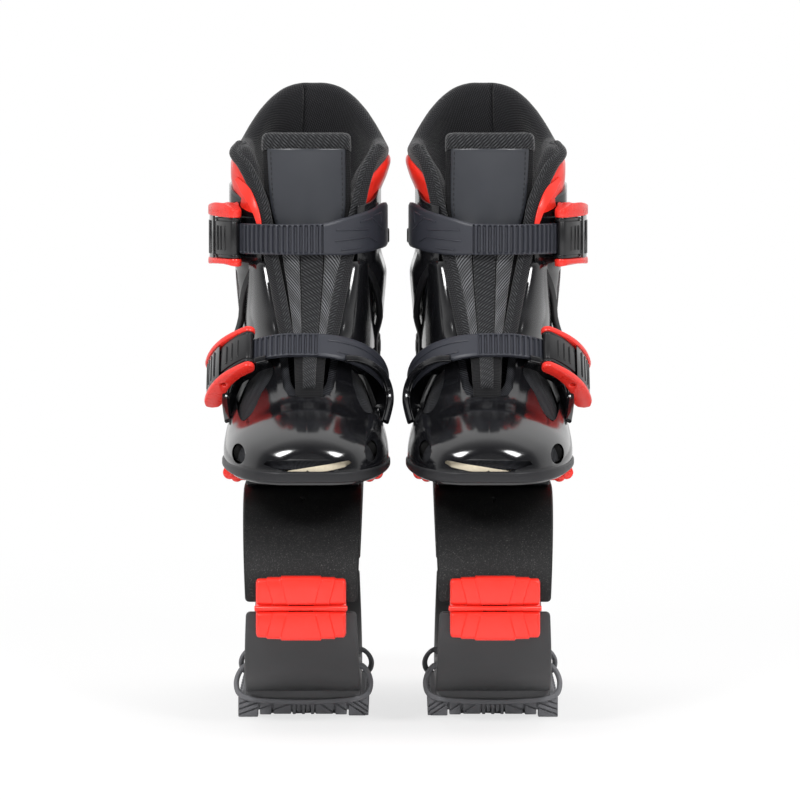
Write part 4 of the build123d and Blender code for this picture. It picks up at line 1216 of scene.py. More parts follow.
def open_ring(half_x, half_y, middle, gap, gap_back, count):
    """Evenly spaced points of a ring that is open in front, from +X round the back to -X."""
    ring = ring_points(half_x, half_y, 1.5, middle)
    kept = [p for p in ring if abs(p[0]) >= gap or p[1] > gap_back]
    kept.sort(key=lambda p: math.atan2(p[0], p[1] - middle))
    lengths = [0.0]
    for a, b in zip(kept, kept[1:]):
        lengths.append(lengths[-1] + math.hypot(b[0] - a[0], b[1] - a[1]))
    result = []
    index = 0
    for k in range(count):
        target = lengths[-1] * k / (count - 1)
        while index < len(kept) - 2 and lengths[index + 1] < target:
            index += 1
        t = (target - lengths[index]) / max(1e-6, lengths[index + 1] - lengths[index])
        result.append((mix(kept[index][0], kept[index + 1][0], t),
                       mix(kept[index][1], kept[index + 1][1], t)))
    return result


def cuff_top(y):
    """Height of the cuff's upper edge."""
    return along_table([(-30, 341), (-12, 345.5), (8, 354), (40, 358), (120, 358)], y)


def cuff_grids(inset, high=44, count=130):
    """The cuff's skin at an inset, as rows of points round the ankle."""
    guide = open_ring(50, 65, 36, 31.5, 4, count)
    rows = []
    for v in range(high + 1):
        row = []
        for j, (gx, gy) in enumerate(guide):
            z = mix(along_table(CUFF_LOW, gy), cuff_top(gy), v / high)
            half_x, half_y, middle = level_at(CUFF_LEVELS, z)
            sway = max(4.2 * smooth((z - 248) / 20) * (1 - smooth((z - 296) / 18)),
                       3.8 * smooth((10 - gy) / 22))
            row.append((sway + gx * (half_x - inset) / 50, middle + (gy - 36) * (half_y - inset) / 65, z))
        rows.append(row)
    return rows


def cuff_gap_shade_mesh():
    """A near-black matte band along the cuff's front and lower edge: painted shade for the gap between cuff
    and shell.
    """
    rows = cuff_grids(-0.3)
    edge = rows[0]
    loops = []
    for j, p in enumerate(edge):
        before, after = Vector(edge[max(0, j - 1)]), Vector(edge[min(len(edge) - 1, j + 1)])
        along = (after - before).normalized()
        out = Vector((p[0], p[1] - 36, 0)).normalized()
        wide = along.cross(out).normalized()
        loops.append([Vector(p) + wide * a * -1 + out * (b - 0.6) for a,
                      b in rounded_loop(2.6, 1.5, 1.0, 3)])
    return tube_mesh("trim", loops)


cuff_body = bevelled(plate_mesh("cuff", cuff_grids(0), cuff_grids(3)), 0.9, 3, 50)
cuff_parts = [cuff_body, boss_mesh(34, 321.5, 49, 54.2, 9)]
set_pair("cuff", joined("cuff", cuff_parts), shell_gloss.material, "cuff", ["cuff"])
# The band along the cuff's edge is painted shade for the gap between cuff and shell.
set_pair("cuff_gap_shade", cuff_gap_shade_mesh(), matte_black_and_gap_shade.material, "cuff")

# %% [markdown]
# Each strap is a flexible plastic ladder. It follows the boot as a flat run over the front and two round
# corners. Half of it has cross ribs that the buckle grips, and the other half is a broad smooth plate. The
# face is a field of heights over the strap, so that the ribs are real shapes, and fine raised lines lie on
# the smooth half.

# %% Straps
LADDER_PITCH = 3.45
SEAT = 2.2
STRAP_THICK = 2.4


def strap_line(name, s):
    """A place along the strap's seat, from the front middle: x, y and the way outward."""
    half_x, half_y, less = STRAPS[name][4:7]
    radius = half_x - less
    side = -1 if s < 0 else 1
    s = abs(s)
    if s < less:
        return side * s, -half_y, (0, -1)
    bend = radius * math.pi / 2
    if s < less + bend:
        turn = (s - less) / radius
        out = (side * math.sin(turn), -math.cos(turn))
        return side * less + radius * out[0], radius - half_y + radius * out[1], out
    return side * half_x, radius - half_y + (s - less - bend), (side, 0)


def strap_face(s, t, low, high, ladder_end):
    """Height of the strap's face above its seat plate at s along and t across, both in millimetres."""
    if s < ladder_end:
        rib = 0.5 + 0.5 * math.cos(2 * math.pi * s / LADDER_PITCH)
        border = step_at(min(t - low, high - t), 1.2, 0.8)
        return 0.7 - 1.7 * border * (1 - step_at(rib, 0.5, 0.45))
    edge = min(t - low, high - t)
    return 0.35 * step_at(edge, 1.4, 0.8)


def strap_mesh(name, starts, low_table, high_table, ladder_end, fine=0.3):
    """A strap between two places along its line, with a face of ribs and lines and a plain back."""
    count = int((starts[1] - starts[0]) / fine)
    across = 34
    face_rows, back_rows = [], []
    for i in range(count + 1):
        s = mix(starts[0], starts[1], i / count)
        x, y, out = strap_line(name, s)
        low, high = along_table(low_table, s), along_table(high_table, s)
        face_row, back_row = [], []
        for j in range(across + 1):
            t = mix(low, high, j / across)
            edge = min(t - low, high - t)
            less = 0.5 * (1 - smooth(edge / 0.8))
            up = SEAT + STRAP_THICK + strap_face(s, t, low, high, ladder_end) - less
            face_row.append(strap_place(name, x + out[0] * up, y + out[1] * up, t))
            back_row.append(strap_place(name, x + out[0] * (SEAT + less * 0.5),
                                        y + out[1] * (SEAT + less * 0.5), t))
        face_rows.append(face_row)
        back_rows.append(back_row)
    return plate_mesh(name, face_rows, back_rows)


def strap_line_mesh(name, points, radius=0.62):
    """A fine raised line on a strap's face, through points of (along, across)."""
    places = []
    for (s0, t0), (s1, t1) in zip(points, points[1:]):
        parts = max(2, int(math.hypot(s1 - s0, t1 - t0) / 1.5))
        places += [(mix(s0, s1, k / parts), mix(t0, t1, k / parts)) for k in range(parts)]
    places.append(points[-1])
    loops = []
    for s, t in places:
        x, y, out = strap_line(name, s)
        loop = []
        for k in range(8):
            turn = 2 * math.pi * k / 8
            up = SEAT + STRAP_THICK + 0.4 + radius * math.sin(turn)
            loop.append(strap_place(name, x + out[0] * up, y + out[1] * up, t + radius * math.cos(turn)))
        loops.append(loop)
    return tube_mesh("line", loops)


ANKLE_LINES = ([(20.9, 6), (45.4, 6)], [(19.8, -1.4), (45.4, 0.9), (54.7, -2.6)],
               [(38.1, 11.4), (49, 13.5), (63.5, 4.9)],
               [(24.3, -7.4), (38.1, -6.3)], [(52, 15.2), (61, 17.2), (60, 10.5)])
INSTEP_LINES = ([(16, 3.6), (40, 4.2), (62, 3.0)], [(22, -4.4), (44, -4.8), (60, -3.4)])
ankle_strap = strap_mesh("ankle", (-79, 105), [(-79, -10.5), (10, -10.5), (26, -11.0), (45, -9.5),
                                               (62, -7.5), (88, -6), (105, -4)],
                         [(-79, 10.5), (10, 10.5), (26, 14.0), (45, 18.5), (62, 22.6), (80, 22.8), (96, 15),
                          (105, 6)], 12.5)
ankle_strap = joined("ankle strap", [ankle_strap] + [strap_line_mesh("ankle",
                                                                     line) for line in ANKLE_LINES])
set_pair("ankle_strap", ankle_strap, strap_plastic.material, "cuff", ["ankle_strap"],
         angle=40)
instep_strap = strap_mesh("instep", (-78, 100), [(-78, -9), (8, -9), (30, -9.6), (60, -10.4), (84, -9),
                                                 (100, -5)],
                          [(-78, 9), (8, 9), (30, 9.6), (60, 10.6), (84, 9), (100, 5)], 10.5)
instep_strap = joined("instep strap", [instep_strap] + [strap_line_mesh("instep",
                                                                        line) for line in INSTEP_LINES])
set_pair("instep_strap", instep_strap, strap_plastic.material, "boot", ["instep_strap"],
         angle=40)

# %% [markdown]
# The ratchet buckles curve with the corner of the boot. A base sits under the strap and carries two ears.
# The red lever has a plate outside each ear and a dark finger plate between them. Under it lies a black
# pawl, which frees the strap.
# Every outline is drawn as (distance out from the seat, distance back from the lever's pin).

# %% Buckles
PIN_OUT = 7.6
LEVER_FLARE = {"ankle": (0.03, 0.0), "instep": (0.0, -0.04)}
LEVER_HUMP = {"ankle": (4.4, -1.6), "instep": (0.0, 0.0)}
LEVER_PLATE = {"ankle": 5.4, "instep": 4.0}
LADDER_HALF = {"ankle": 10.5, "instep": 9.0}
STRAP_PLAY = 0.9
EAR_THICK = 2.2
EAR_PLAY = 0.35


def on_buckle(name, out, along):
    """A place on a buckle in its strap's plane."""
    half_x, half_y, less, pin_turn = STRAPS[name][4:8]
    radius = half_x - less
    turn = math.radians(pin_turn) - along / (radius + PIN_OUT)
    reach = radius + out
    return -less - reach * math.cos(turn), radius - half_y - reach * math.sin(turn)


def dense(outline, step=1.6):
    """An outline with extra points, so that it can follow a curve."""
    result = []
    for (a0, b0), (a1, b1) in zip(outline, outline[1:] + outline[:1]):
        parts = max(1, int(math.hypot(a1 - a0, b1 - b0) / step))
        result += [(mix(a0, a1, k / parts), mix(b0, b1, k / parts)) for k in range(parts)]
    return result


def hump_at(along):
    """How high a lever's boss stands, from 0 to 1: it rises at the head and fades along the blade."""
    return smooth((along + 4) / 9) * (1 - 0.8 * smooth((along - 14) / 30))


def buckle_plate(name, outline, low, high, edge=0.5, holes=(), flare=0.0, humps=(0.0, 0.0)):
    """A plate across the strap's plane with the buckle's curve. Flare leans its far end away."""
    loops = []
    for z, hump in zip((low, high), humps):
        loops.append([strap_place(name, *on_buckle(name, out, along),
                                  z + flare * max(0.0, along) + hump * hump_at(along))
                      for out, along in dense(outline)])
    plate = tube_mesh("plate", loops)
    for out, along, radius in holes:
        x, y = on_buckle(name, out, along)
        bar = bar_mesh("hole", strap_place(name, x, y, low - 9), strap_place(name, x, y, high + 9), radius,
                       0.05, 24)
        plate = without(plate, bar)
    return bevelled(plate, edge, 2, 35)


def buckle_bar(name, out, along, low, high, radius, edge=0.3):
    """A round pin across a buckle."""
    x, y = on_buckle(name, out, along)
    return bar_mesh("pin", strap_place(name, x, y, low), strap_place(name, x, y, high), radius, edge, 24)


def rounded_end(out, along, radius, first, last, count=8):
    """Points of a round end on an outline, between two angles in degrees."""
    angles = [math.radians(mix(first, last, k / count)) for k in range(count + 1)]
    return [(out + radius * math.sin(a), along - radius * math.cos(a)) for a in angles]


def lever_outline():
    """Side plate of the red lever: a rounded head round the pin, then a long blade that widens."""
    head = rounded_end(PIN_OUT, 0, 4.8, -100, 100)
    blade = [(12.6, 8), (13.6, 20), (14.4, 34), (14.6, 46), (13.4, 50.4), (9, 51.6), (4.6, 50.6), (2.4, 47),
             (2.2, 34),
             (3.0, 20), (3.2, 9)]
    return head + blade


def ear_out(name):
    """How far a buckle's ear reaches across the strap, with the play beside it."""
    return LADDER_HALF[name] + STRAP_PLAY + EAR_THICK + EAR_PLAY


def lever_mesh(name):
    """The red lever's two side plates, each with one hole."""
    ear = ear_out(name)
    parts = []
    for side in (-1, 1):
        low, high = sorted((side * ear, side * (ear + LEVER_PLATE[name])))
        flare = LEVER_FLARE[name][0 if side > 0 else 1]
        upper, lower = LEVER_HUMP[name]
        humps = (0.0, upper) if side > 0 else (-lower, 0.0)
        parts.append(buckle_plate(name, lever_outline(), low, high, 1.1, [(8.0, 24, 1.7)], flare, humps))
    return joined("lever", parts)


def lever_back_mesh(name):
    """The dark finger plate between the lever's side plates."""
    ear = ear_out(name)
    back = [(12.1, 27), (13.0, 22), (13.6, 34), (13.4, 46), (12.2, 50.0), (11.0, 49.4), (12.1, 45)]
    parts = [buckle_plate(name, back, -ear - 0.6, ear + 0.6, 0.5)]
    for k in range(4):
        parts.append(buckle_bar(name, 13.3, 28 + 4.5 * k, -ear + 2.5, ear - 2.5, 0.8, 0.2))
    return joined("finger plate", parts)


def base_mesh(name):
    """The black base: a curved plate, two ears and the housing that holds the pawl."""
    inner = LADDER_HALF[name] + STRAP_PLAY
    parts = [buckle_plate(name, [(0, 5.5), (1.8, 5.5), (1.8, 36), (0, 36)], -inner - EAR_THICK,
                          inner + EAR_THICK, 0.3)]
    ear = rounded_end(PIN_OUT, 0, 4.4, -90, 90) + [(11.2, 18), (9.5, 34), (1, 36), (0, 34), (0, 2)]
    for side in (-1, 1):
        low, high = sorted((side * inner, side * (inner + 2.1)))
        parts.append(buckle_plate(name, ear, low, high, 0.4))
    cover = rounded_end(9.0, -1.0, 3.2, -60, 90) + [(12.4, 6), (12.0, 22), (9.6, 22.5), (9.4, 6), (6.6, 2)]
    parts.append(buckle_plate(name, cover, -inner, inner, 0.5))
    for k in range(3):
        parts.append(buckle_bar(name, 12.3, 5 + 5 * k, -inner + 3, inner - 3, 0.7, 0.2))
    return joined("base", parts)


def release_mesh(name):
    """The black pawl lever, whose rounded tip shows past the red lever."""
    half = LADDER_HALF[name] + 0.5
    body = [(5.7, 23), (9.4, 23), (9.4, 44), (9.6, 53), (8.2, 55.6), (6.2, 55.0), (5.7, 50), (5.4, 40)]
    return buckle_plate(name, body, -half, half, 0.6)


def rivet_mesh(name):
    """The blackened rivet at the strap's other end."""
    half_x = STRAPS[name][4]
    face = half_x + SEAT + STRAP_THICK
    shank = bar_mesh("rivet", strap_place(name, half_x - 3, 0, 0), strap_place(name, face + 1.2, 0, 0), 2.5,
                     0.3)
    head = bar_mesh("head", strap_place(name, face, 0, 0), strap_place(name, face + 1.4, 0, 0), 5.0, 1.0,
                    36)
    return joined("rivet", [shank, head])


def pins_mesh(name):
    """The steel pins with turned heads."""
    ear = ear_out(name) + 2.6
    parts = [buckle_bar(name, PIN_OUT, 0, -ear - 0.3, ear + 0.3, 1.3),
             buckle_bar(name, PIN_OUT, 25, -ear + 2.9, ear - 2.9, 1.3)]
    for side in (-1, 1):
        low, high = sorted((side * ear, side * (ear + 0.7)))
        parts.append(buckle_bar(name, PIN_OUT, 0, low, high, 2.3))
    return joined("pins", parts)


for name, body in (("ankle", "cuff"), ("instep", "boot")):
    set_pair(f"{name}_lever", lever_mesh(name), red_lever.material, f"{name}_lever", [f"{name}_lever"])
    set_pair(f"{name}_lever_back", lever_back_mesh(name), shell_gloss.material, f"{name}_lever")
    set_pair(f"{name}_buckle_base", base_mesh(name), buckle_black.material, body, [f"{name}_buckle_base"])
    set_pair(f"{name}_release", release_mesh(name), buckle_black.material, f"{name}_release",
             [f"{name}_release"])
    set_pair(f"{name}_pins", pins_mesh(name), steel.material, body, [f"{name}_pins"])
    set_pair(f"{name}_strap_rivet", rivet_mesh(name), buckle_black.material, body)

# %% [markdown]
# The ankle pivots are broad headed rivets. Their heads have a domed face with a shallow ring.

# %% Ankle pivots
PIVOT_Y = 40
PIVOT_Z = 245
PIVOT_PARTS = (("shank", 41.4, 51, 4.0, 0.2, 32), ("head", 49.4, 51.8, 9.0, 1.6, 48),
               ("ring", 50.4, 52.1, 4.6, 0.9, 40))


def pivot_mesh(side):
    """One ankle rivet with its domed head."""
    parts = []
    for name, near, far, radius, edge, sides in PIVOT_PARTS:
        start, end = (side * near, PIVOT_Y, PIVOT_Z), (side * far, PIVOT_Y, PIVOT_Z)
        parts.append(bar_mesh(name, start, end, radius, edge, sides))
    return joined("pivot", parts)


set_pair("shell_rivets", joined("pivots", [pivot_mesh(side) for side in (-1, 1)]), buckle_black.material,
         "boot",
         ["shell_rivets"])

# %% [markdown]
# The collar is the thick padded top of the liner. It is a ring of foam under black knit, open in front
# and high at the back, and its inside folds into a deep crease behind the leg. Foam covered in cloth keeps
# round edges everywhere, so each slice of the collar is a loop with a fully round top.

# %% Padded collar
COLLAR_LEVELS = ((268.0, 45.7, 60.0, 36.0), (300.0, 48.2, 60.2, 34.0), (350.0, 48.2, 60.2, 34.0),
                 (364.0, 51.4, 61.6, 34.0), (378.0, 53.0, 62.4, 34.0), (392.0, 52.2, 61.8, 34.0),
                 (412.0, 48.6, 59.0, 34.0),
                 (427.0, 45.5, 56.5, 34.0))
COLLAR_DOME = [(0, 427.4), (12, 427.2), (23, 424.4), (32, 418.5), (39.5, 410), (45, 400), (50, 389),
               (56, 379)]
COLLAR_FRONT = [(30, 350), (34.5, 357.5), (40, 369), (46, 380), (52, 388)]
COLLAR_SIDE = [(-40, 381), (0, 383.5), (20, 392), (60, 411), (96, 428)]
COLLAR_LOW = [(-40, 338), (-20, 316), (0, 290), (18, 270), (120, 268)]
COLLAR_THICK = 11.0
CREASE_X = 8.0


def collar_top(x, y):
    """Height of the collar's upper edge: a slope toward the front and a dome at the back."""
    a, b = along_table(COLLAR_DOME, abs(x)), along_table(COLLAR_SIDE, y)
    top = min(a, b) - 1.6 * math.exp(-abs(a - b) / 4)
    return top if y > 6 else min(top, along_table(COLLAR_FRONT, abs(x)))


def collar_place(gx, gy, z, inset):
    """A place on the collar's skin from a place on its guide ring."""
    half_x, half_y, middle = level_at(COLLAR_LEVELS, z)
    sway = 4.8 * smooth((z - 340) / 45)
    return sway + gx * (half_x - inset) / 50, middle + (gy - 34) * (half_y - inset) / 65, z


def crease_at(x, y):
    """How deep the fold behind the leg is at a place on the ring."""
    return math.exp(-((x + CREASE_X) / 1.7) ** 2) if y > 40 else 0.0


def collar_mesh():
    """The padded ring as a run of slices."""
    guide = open_ring(50, 65, 34, 34.5, 2, 190)
    loops = []
    last = len(guide) - 1
    for j, (gx, gy) in enumerate(guide):
        _, y_top, _ = collar_place(gx, gy, 380, 0)
        top = collar_top(gx * 1.04, y_top)
        low = along_table(COLLAR_LOW, y_top)
        end = min(j, last - j) / 5.0
        full = math.sqrt(max(0.12, 1 - max(0.0, 1 - end) ** 2))
        thick = COLLAR_THICK * full
        top -= 5 * (1 - full)
        crease = crease_at(gx, gy)
        swell = 1.6 * math.exp(-((gx + CREASE_X) / 14) ** 2) if gy > 40 else 0.0
        loop = []
        half = thick / 2
        for k in range(15):
            z = mix(low, top - half, k / 14)
            loop.append(collar_place(gx, gy, z, 0.0))
        for k in range(1, 10):
            turn = math.pi * k / 10
            z = top - half + half * math.sin(turn)
            inset = half - half * math.cos(turn) + swell * smooth(k / 10)
            inset -= crease * 4.5 * smooth((k - 6) / 3)
            z -= crease * 3 * smooth((k - 5) / 3)
            loop.append(collar_place(gx, gy, z, inset))
        for k in range(15):
            z = mix(top - half, low, k / 14)
            deep = crease * 4.5 * (1 - smooth((top - z - 34) / 12))
            plump = 1.3 * math.sin(math.pi * min(1, max(0, (top - z) / 46)))
            loop.append(collar_place(gx, gy, z, thick + swell + plump * full - deep))
        loops.append(loop)
    return tube_mesh("collar", loops)


set_pair("liner_collar", collar_mesh(), collar_knit.material, "cuff", ["liner_collar"],
         angle=60)

# %% [markdown]
# Red glossy panels lie on the collar's sides above the cuff. Each is a curved wedge, and the one on the
# -X side ends in a thin tail along the collar's front edge.

# %% Red panels
PANEL_TOP = [(-30, 344), (-19, 348), (-12, 357), (-4, 367), (4, 373), (14, 376), (30, 377), (60, 375),
             (80, 366)]


def panel_mesh(side):
    """One red panel on its side of the collar."""
    nearest = 38.0 if side > 0 else 33.2
    ring = [p for p in open_ring(50, 65, 34, nearest, 6, 260) if p[0] * side > 0 and p[1] < 88]
    face_rows, back_rows = [], []
    for gx, gy in ring:
        _, y, _ = collar_place(gx, gy, 360, 0)
        low = cuff_top(y) - 6.0
        high = along_table(PANEL_TOP, y)
        rear = smooth((y - 62) / 24)
        high = mix(high, low + 2, rear)
        face_row, back_row = [], []
        for k in range(15):
            z = mix(low, high, k / 14)
            edge = min(z - low + 6, high - z)
            puff = 1.9 * math.sqrt(min(1.0, max(0.0, edge / 5)))
            face_row.append(collar_place(gx, gy, z, -0.5 - puff))
            back_row.append(collar_place(gx, gy, z, 0.6))
        face_rows.append(face_row)
        back_rows.append(back_row)
    return plate_mesh("panel", face_rows, back_rows)


BORDERS = {
    -1: [(-41.0, 14, 385.0), (-44.4, 3, 379.5), (-38.8, -6.5, 371.8), (-32.8, -13, 360.5),
         (-27.2, -17.5, 347), (-24.2, -20, 333),
         (-22.4, -21.5, 321), (-20.6, -24, 311), (-16.0, -33.5, 290), (-11.4, -47, 267), (-9.2, -54, 257),
         (-8.2, -60, 250)],
    1: [(47.5, 4, 383.0), (42.6, -6, 373), (38.6, -11, 361.5), (35.2, -13.5, 346.5), (32.2, -14.5, 333),
        (29.6, -16.0, 321), (27.4, -19, 311), (23.6, -33.5, 290), (19.2, -47, 267), (17.2, -54, 257),
        (16.2, -60, 250)]}


def border_strip(side, points, half_wide, half_thick, count=90):
    """A padded strip down one side of the throat. Its width can change along it."""
    line = smooth_line(points, count)
    loops = []
    for i, p in enumerate(line):
        along = (line[min(i + 1, count - 1)] - line[max(i - 1, 0)]).normalized()
        face = Vector((side * mix(0.25, 0.75, smooth((p.z - 330) / 50)), -1, 0.25))
        face = (face - along * face.dot(along)).normalized()
        wide = along.cross(face)
        share = i / (count - 1)
        size = half_wide(share) if callable(half_wide) else half_wide
        loops.append([p + wide * a + face * b for a,
                      b in rounded_loop(size, half_thick, half_thick * 0.9, 4)])
    return tube_mesh("border", loops)


panel_parts = [panel_mesh(side) for side in (-1, 1)]
tail = [(-46.0, -4.5, 361.5), (-39.6, -14.5, 353.5), (-34.8, -20.5, 345.0), (-31.4, -23.0, 336),
        (-29.2, -24.5, 326)]
panel_parts.append(border_strip(-1, tail, lambda t: mix(4.4, 1.4, t) * mix(0.4, 1, smooth(t * 4)), 1.0, 50))
set_pair("collar_panels", joined("panels", panel_parts), red_panel.material, "cuff", ["collar_panels"],
         angle=50)

# %% [markdown]
# The liner's front edges are bound with twill tape over a padded cord. They run from the collar down both
# sides of the tongue.

# %% Liner borders
BEND = ("cuff", (0, -44, 262), (0, -26, 302))
knit_sides = {side: [(x + side * 3.6, y + 1.0, z - 0.6) for x, y, z in line] for side,
              line in BORDERS.items()}
for name, lines, wide, thick, finish in (
        ("liner_edge", knit_sides, lambda t: mix(3.4, 3.0, t), 3.2, collar_knit),
        ("liner_binding", BORDERS, lambda t: mix(1.8, 2.9, smooth(t * 2.5)), 2.2, twill)):
    strips = joined(name, [border_strip(side, points, wide, thick) for side, points in lines.items()])
    set_pair(name, strips, finish.material, "boot", bend=BEND, angle=60)

# %% [markdown]
# The tongue is a long pad in front of the shin. Its upper part carries a smooth coated patch, sewn on
# with a row of stitches at each side, and a twill band is folded over its top edge. Below the ankle strap
# its face is cloth, with two padded twill strips beside a finer middle.

# %% Tongue
TONGUE_FRONT = [(212, -94), (222, -88.5), (229.5, -84), (253, -60.5), (272, -45.5), (292, -34), (315, -25),
                (338, -21), (365, -20), (391, -21)]
TONGUE_HALF = [(222, 10), (229.5, 10.5), (253, 12.5), (280, 17.4), (306, 22.6), (330, 27), (345, 30),
               (395, 31)]
TONGUE_MIDDLE = [(212, 4.4), (262, 4.8), (310, 5.4), (340, 3.0), (370, 1.8), (395, 1.5)]
TONGUE_THICK = 10.5


def tongue_place(share, z, up):
    """A place on the tongue: share across from -1 to 1, height, and how far above its face."""
    y = along_table(TONGUE_FRONT, z)
    slope = (along_table(TONGUE_FRONT, z + 1) - along_table(TONGUE_FRONT, z - 1)) / 2
    out = Vector((0, -1, slope)).normalized()
    half = along_table(TONGUE_HALF, z)
    sag = mix(2.5, 7.5, smooth((z - 250) / 90)) * share ** 2
    tilt = Vector((share * 0.45, 0, 0))
    return Vector((share * half + along_table(TONGUE_MIDDLE, z), y + sag,
                   z)) + (out + tilt).normalized() * up


def tongue_mesh():
    """The pad itself, as slices up its length, with a round top and round sides."""
    loops = []
    for i in range(71):
        z = mix(214, 391.0, i / 70)
        near_top = max(0.0, 1 - (391.0 - z) / 6)
        full = math.sqrt(max(0.05, 1 - near_top ** 2))
        half = TONGUE_THICK / 2 * full
        loop = []
        for a, b in rounded_loop(1.0, 1.0, 0.45, 6):
            puff = 0.5 * (1 - a * a) * (b > 0)
            loop.append(tongue_place(a * mix(0.96, 1, full), z, b * half - TONGUE_THICK / 2 + puff))
        loops.append(loop)
    return tube_mesh("tongue", loops)


def tongue_overlay(shares, heights, lift, thick, columns=30, rows=60, puff=0.0, round_edge=1.5):
    """A thin piece that lies on the tongue's face between two lines. Shares are tables over height."""
    face_rows, back_rows = [], []
    for i in range(rows + 1):
        z = mix(heights[0], heights[1], i / rows)
        left, right = along_table(shares[0], z), along_table(shares[1], z)
        half = along_table(TONGUE_HALF, z)
        face_row, back_row = [], []
        for j in range(columns + 1):
            share = mix(left, right, j / columns)
            edge = min(share - left, right - share) * half
            edge = min(edge, z - heights[0], heights[1] - z)
            up = lift + thick * math.sqrt(min(1.0, max(0.0, edge / round_edge))) + puff * smooth(edge / 5)
            puff_base = 0.5 * (1 - share * share)
            face_row.append(tongue_place(share, z, up + puff_base))
            back_row.append(tongue_place(share, z, puff_base - 0.6))
        face_rows.append(face_row)
        back_rows.append(back_row)
    return plate_mesh("overlay", face_rows, back_rows)


def stitch_row(places, length=1.9, radius=0.32):
    """Short stitches along a run of places, each a small sunk bar."""
    parts = []
    for start, end in zip(places[::2], places[1::2]):
        start, end = Vector(start), Vector(end)
        middle = (start + end) / 2
        along = (end - start).normalized() * length / 2
        parts.append(bar_mesh("stitch", middle - along, middle + along, radius, radius * 0.6, 8))
    return joined("stitches", parts)


set_pair("tongue", tongue_mesh(), tongue_side.material, "boot", ["tongue"], bend=BEND,
         angle=60)
patch = tongue_overlay(([(320, -0.84), (395, -0.86)], [(320, 0.84), (395, 0.86)]), (322, 383.4), 0.1, 0.9,
                       44, 60)
set_pair("tongue_patch", patch, patch_leather.material, "cuff", angle=50)
side_left = tongue_overlay(([(250, -0.84), (330, -0.86)], [(250, -0.44), (330, -0.34)]), (248, 324), 0.0,
                           1.5, 20, 60, 0.9)
side_right = tongue_overlay(([(250, 0.44), (330, 0.34)], [(250, 0.84), (330, 0.86)]), (248, 324), 0.0, 1.5,
                            20, 60, 0.9)
set_pair("tongue_pads", joined("pads", [side_left, side_right]), pad_twill.material, "boot",
         bend=BEND,
         angle=60)
middle = tongue_overlay(([(250, -0.4), (330, -0.3)], [(250, 0.4), (330, 0.3)]), (224, 324), 0.0, 0.9, 24,
                        70, 0.5)
set_pair("tongue_middle", middle, twill.material, "boot", bend=BEND, angle=60)


def tongue_band():
    """The folded twill band over the tongue's top edge."""
    loops = []
    for k in range(41):
        share = mix(-1.0, 1.0, k / 40)
        drawn = 1 - max(0.0, (abs(share) - 0.86) / 0.14) ** 2 * 0.5
        loop = []
        for up, z in ((0.8, 382.2), (1.5, 383.0), (1.7, 386), (1.4, 389.5), (0.2, 392.0), (-2.5, 393.2),
                      (-6.5, 393.2),
                      (-10, 392.0), (-11.6, 389), (-11.8, 384), (-11.2, 382.2), (-8, 381.6), (-3, 381.6)):
            loop.append(tongue_place(share * 1.01, min(z, 391.4) - (1 - drawn) * 4,
                                     (up + 5) * drawn - 5) + Vector((0, 0, max(0, z - 391.4))))
        loops.append(loop)
    return tube_mesh("band", loops)


set_pair("tongue_band", tongue_band(), twill.material, "cuff", angle=60)
stitches = []
for share in (-0.77, 0.77):
    places = [tongue_place(share, z,
                           1.15 + 0.5 * (1 - share * share)) for z in [326 + 1.75 * k for k in range(32)]]
    stitches.append(stitch_row(places))
places = [tongue_place(share, 384.2, 1.9) for share in [-0.86 + 0.043 * k for k in range(41)]]
stitches.append(stitch_row(places, 1.2, 0.36))
set_pair("tongue_stitches", joined("stitches", stitches), thread.material, "cuff")

# %% [markdown]
# The studio is plain: a white floor and world that read as white to the camera. Two oval lamps in front, one
# at each side, draw the highlights on the glossy shells. A lamp above and a low one in front only add light,
# and leave no reflection.

# %% Floor, world, lamps
def white_for_camera(surface, lit, seen):
    """The floor's look: lit where the boots stand, and pure white to the camera farther out."""
    spread = surface.node("VectorMath", operation="LENGTH")
    surface.link(surface.places(), spread.inputs[0])
    away = surface.ramp(spread.outputs["Value"], 0.2, 1.1, 0.72, 1.0)
    share = surface.math("MULTIPLY", seen, away)
    glow = surface.node("Emission", in_Strength=1.0)
    glow.inputs["Color"].default_value = (1, 1, 1, 1)
    blend = surface.node("MixShader")
    surface.link(share, blend.inputs[0])
    surface.link(lit, blend.inputs[1])
    surface.link(glow.outputs[0], blend.inputs[2])
    output = next(n for n in surface.tree.nodes if n.type == "OUTPUT_MATERIAL")
    surface.link(blend.outputs[0], output.inputs["Surface"])


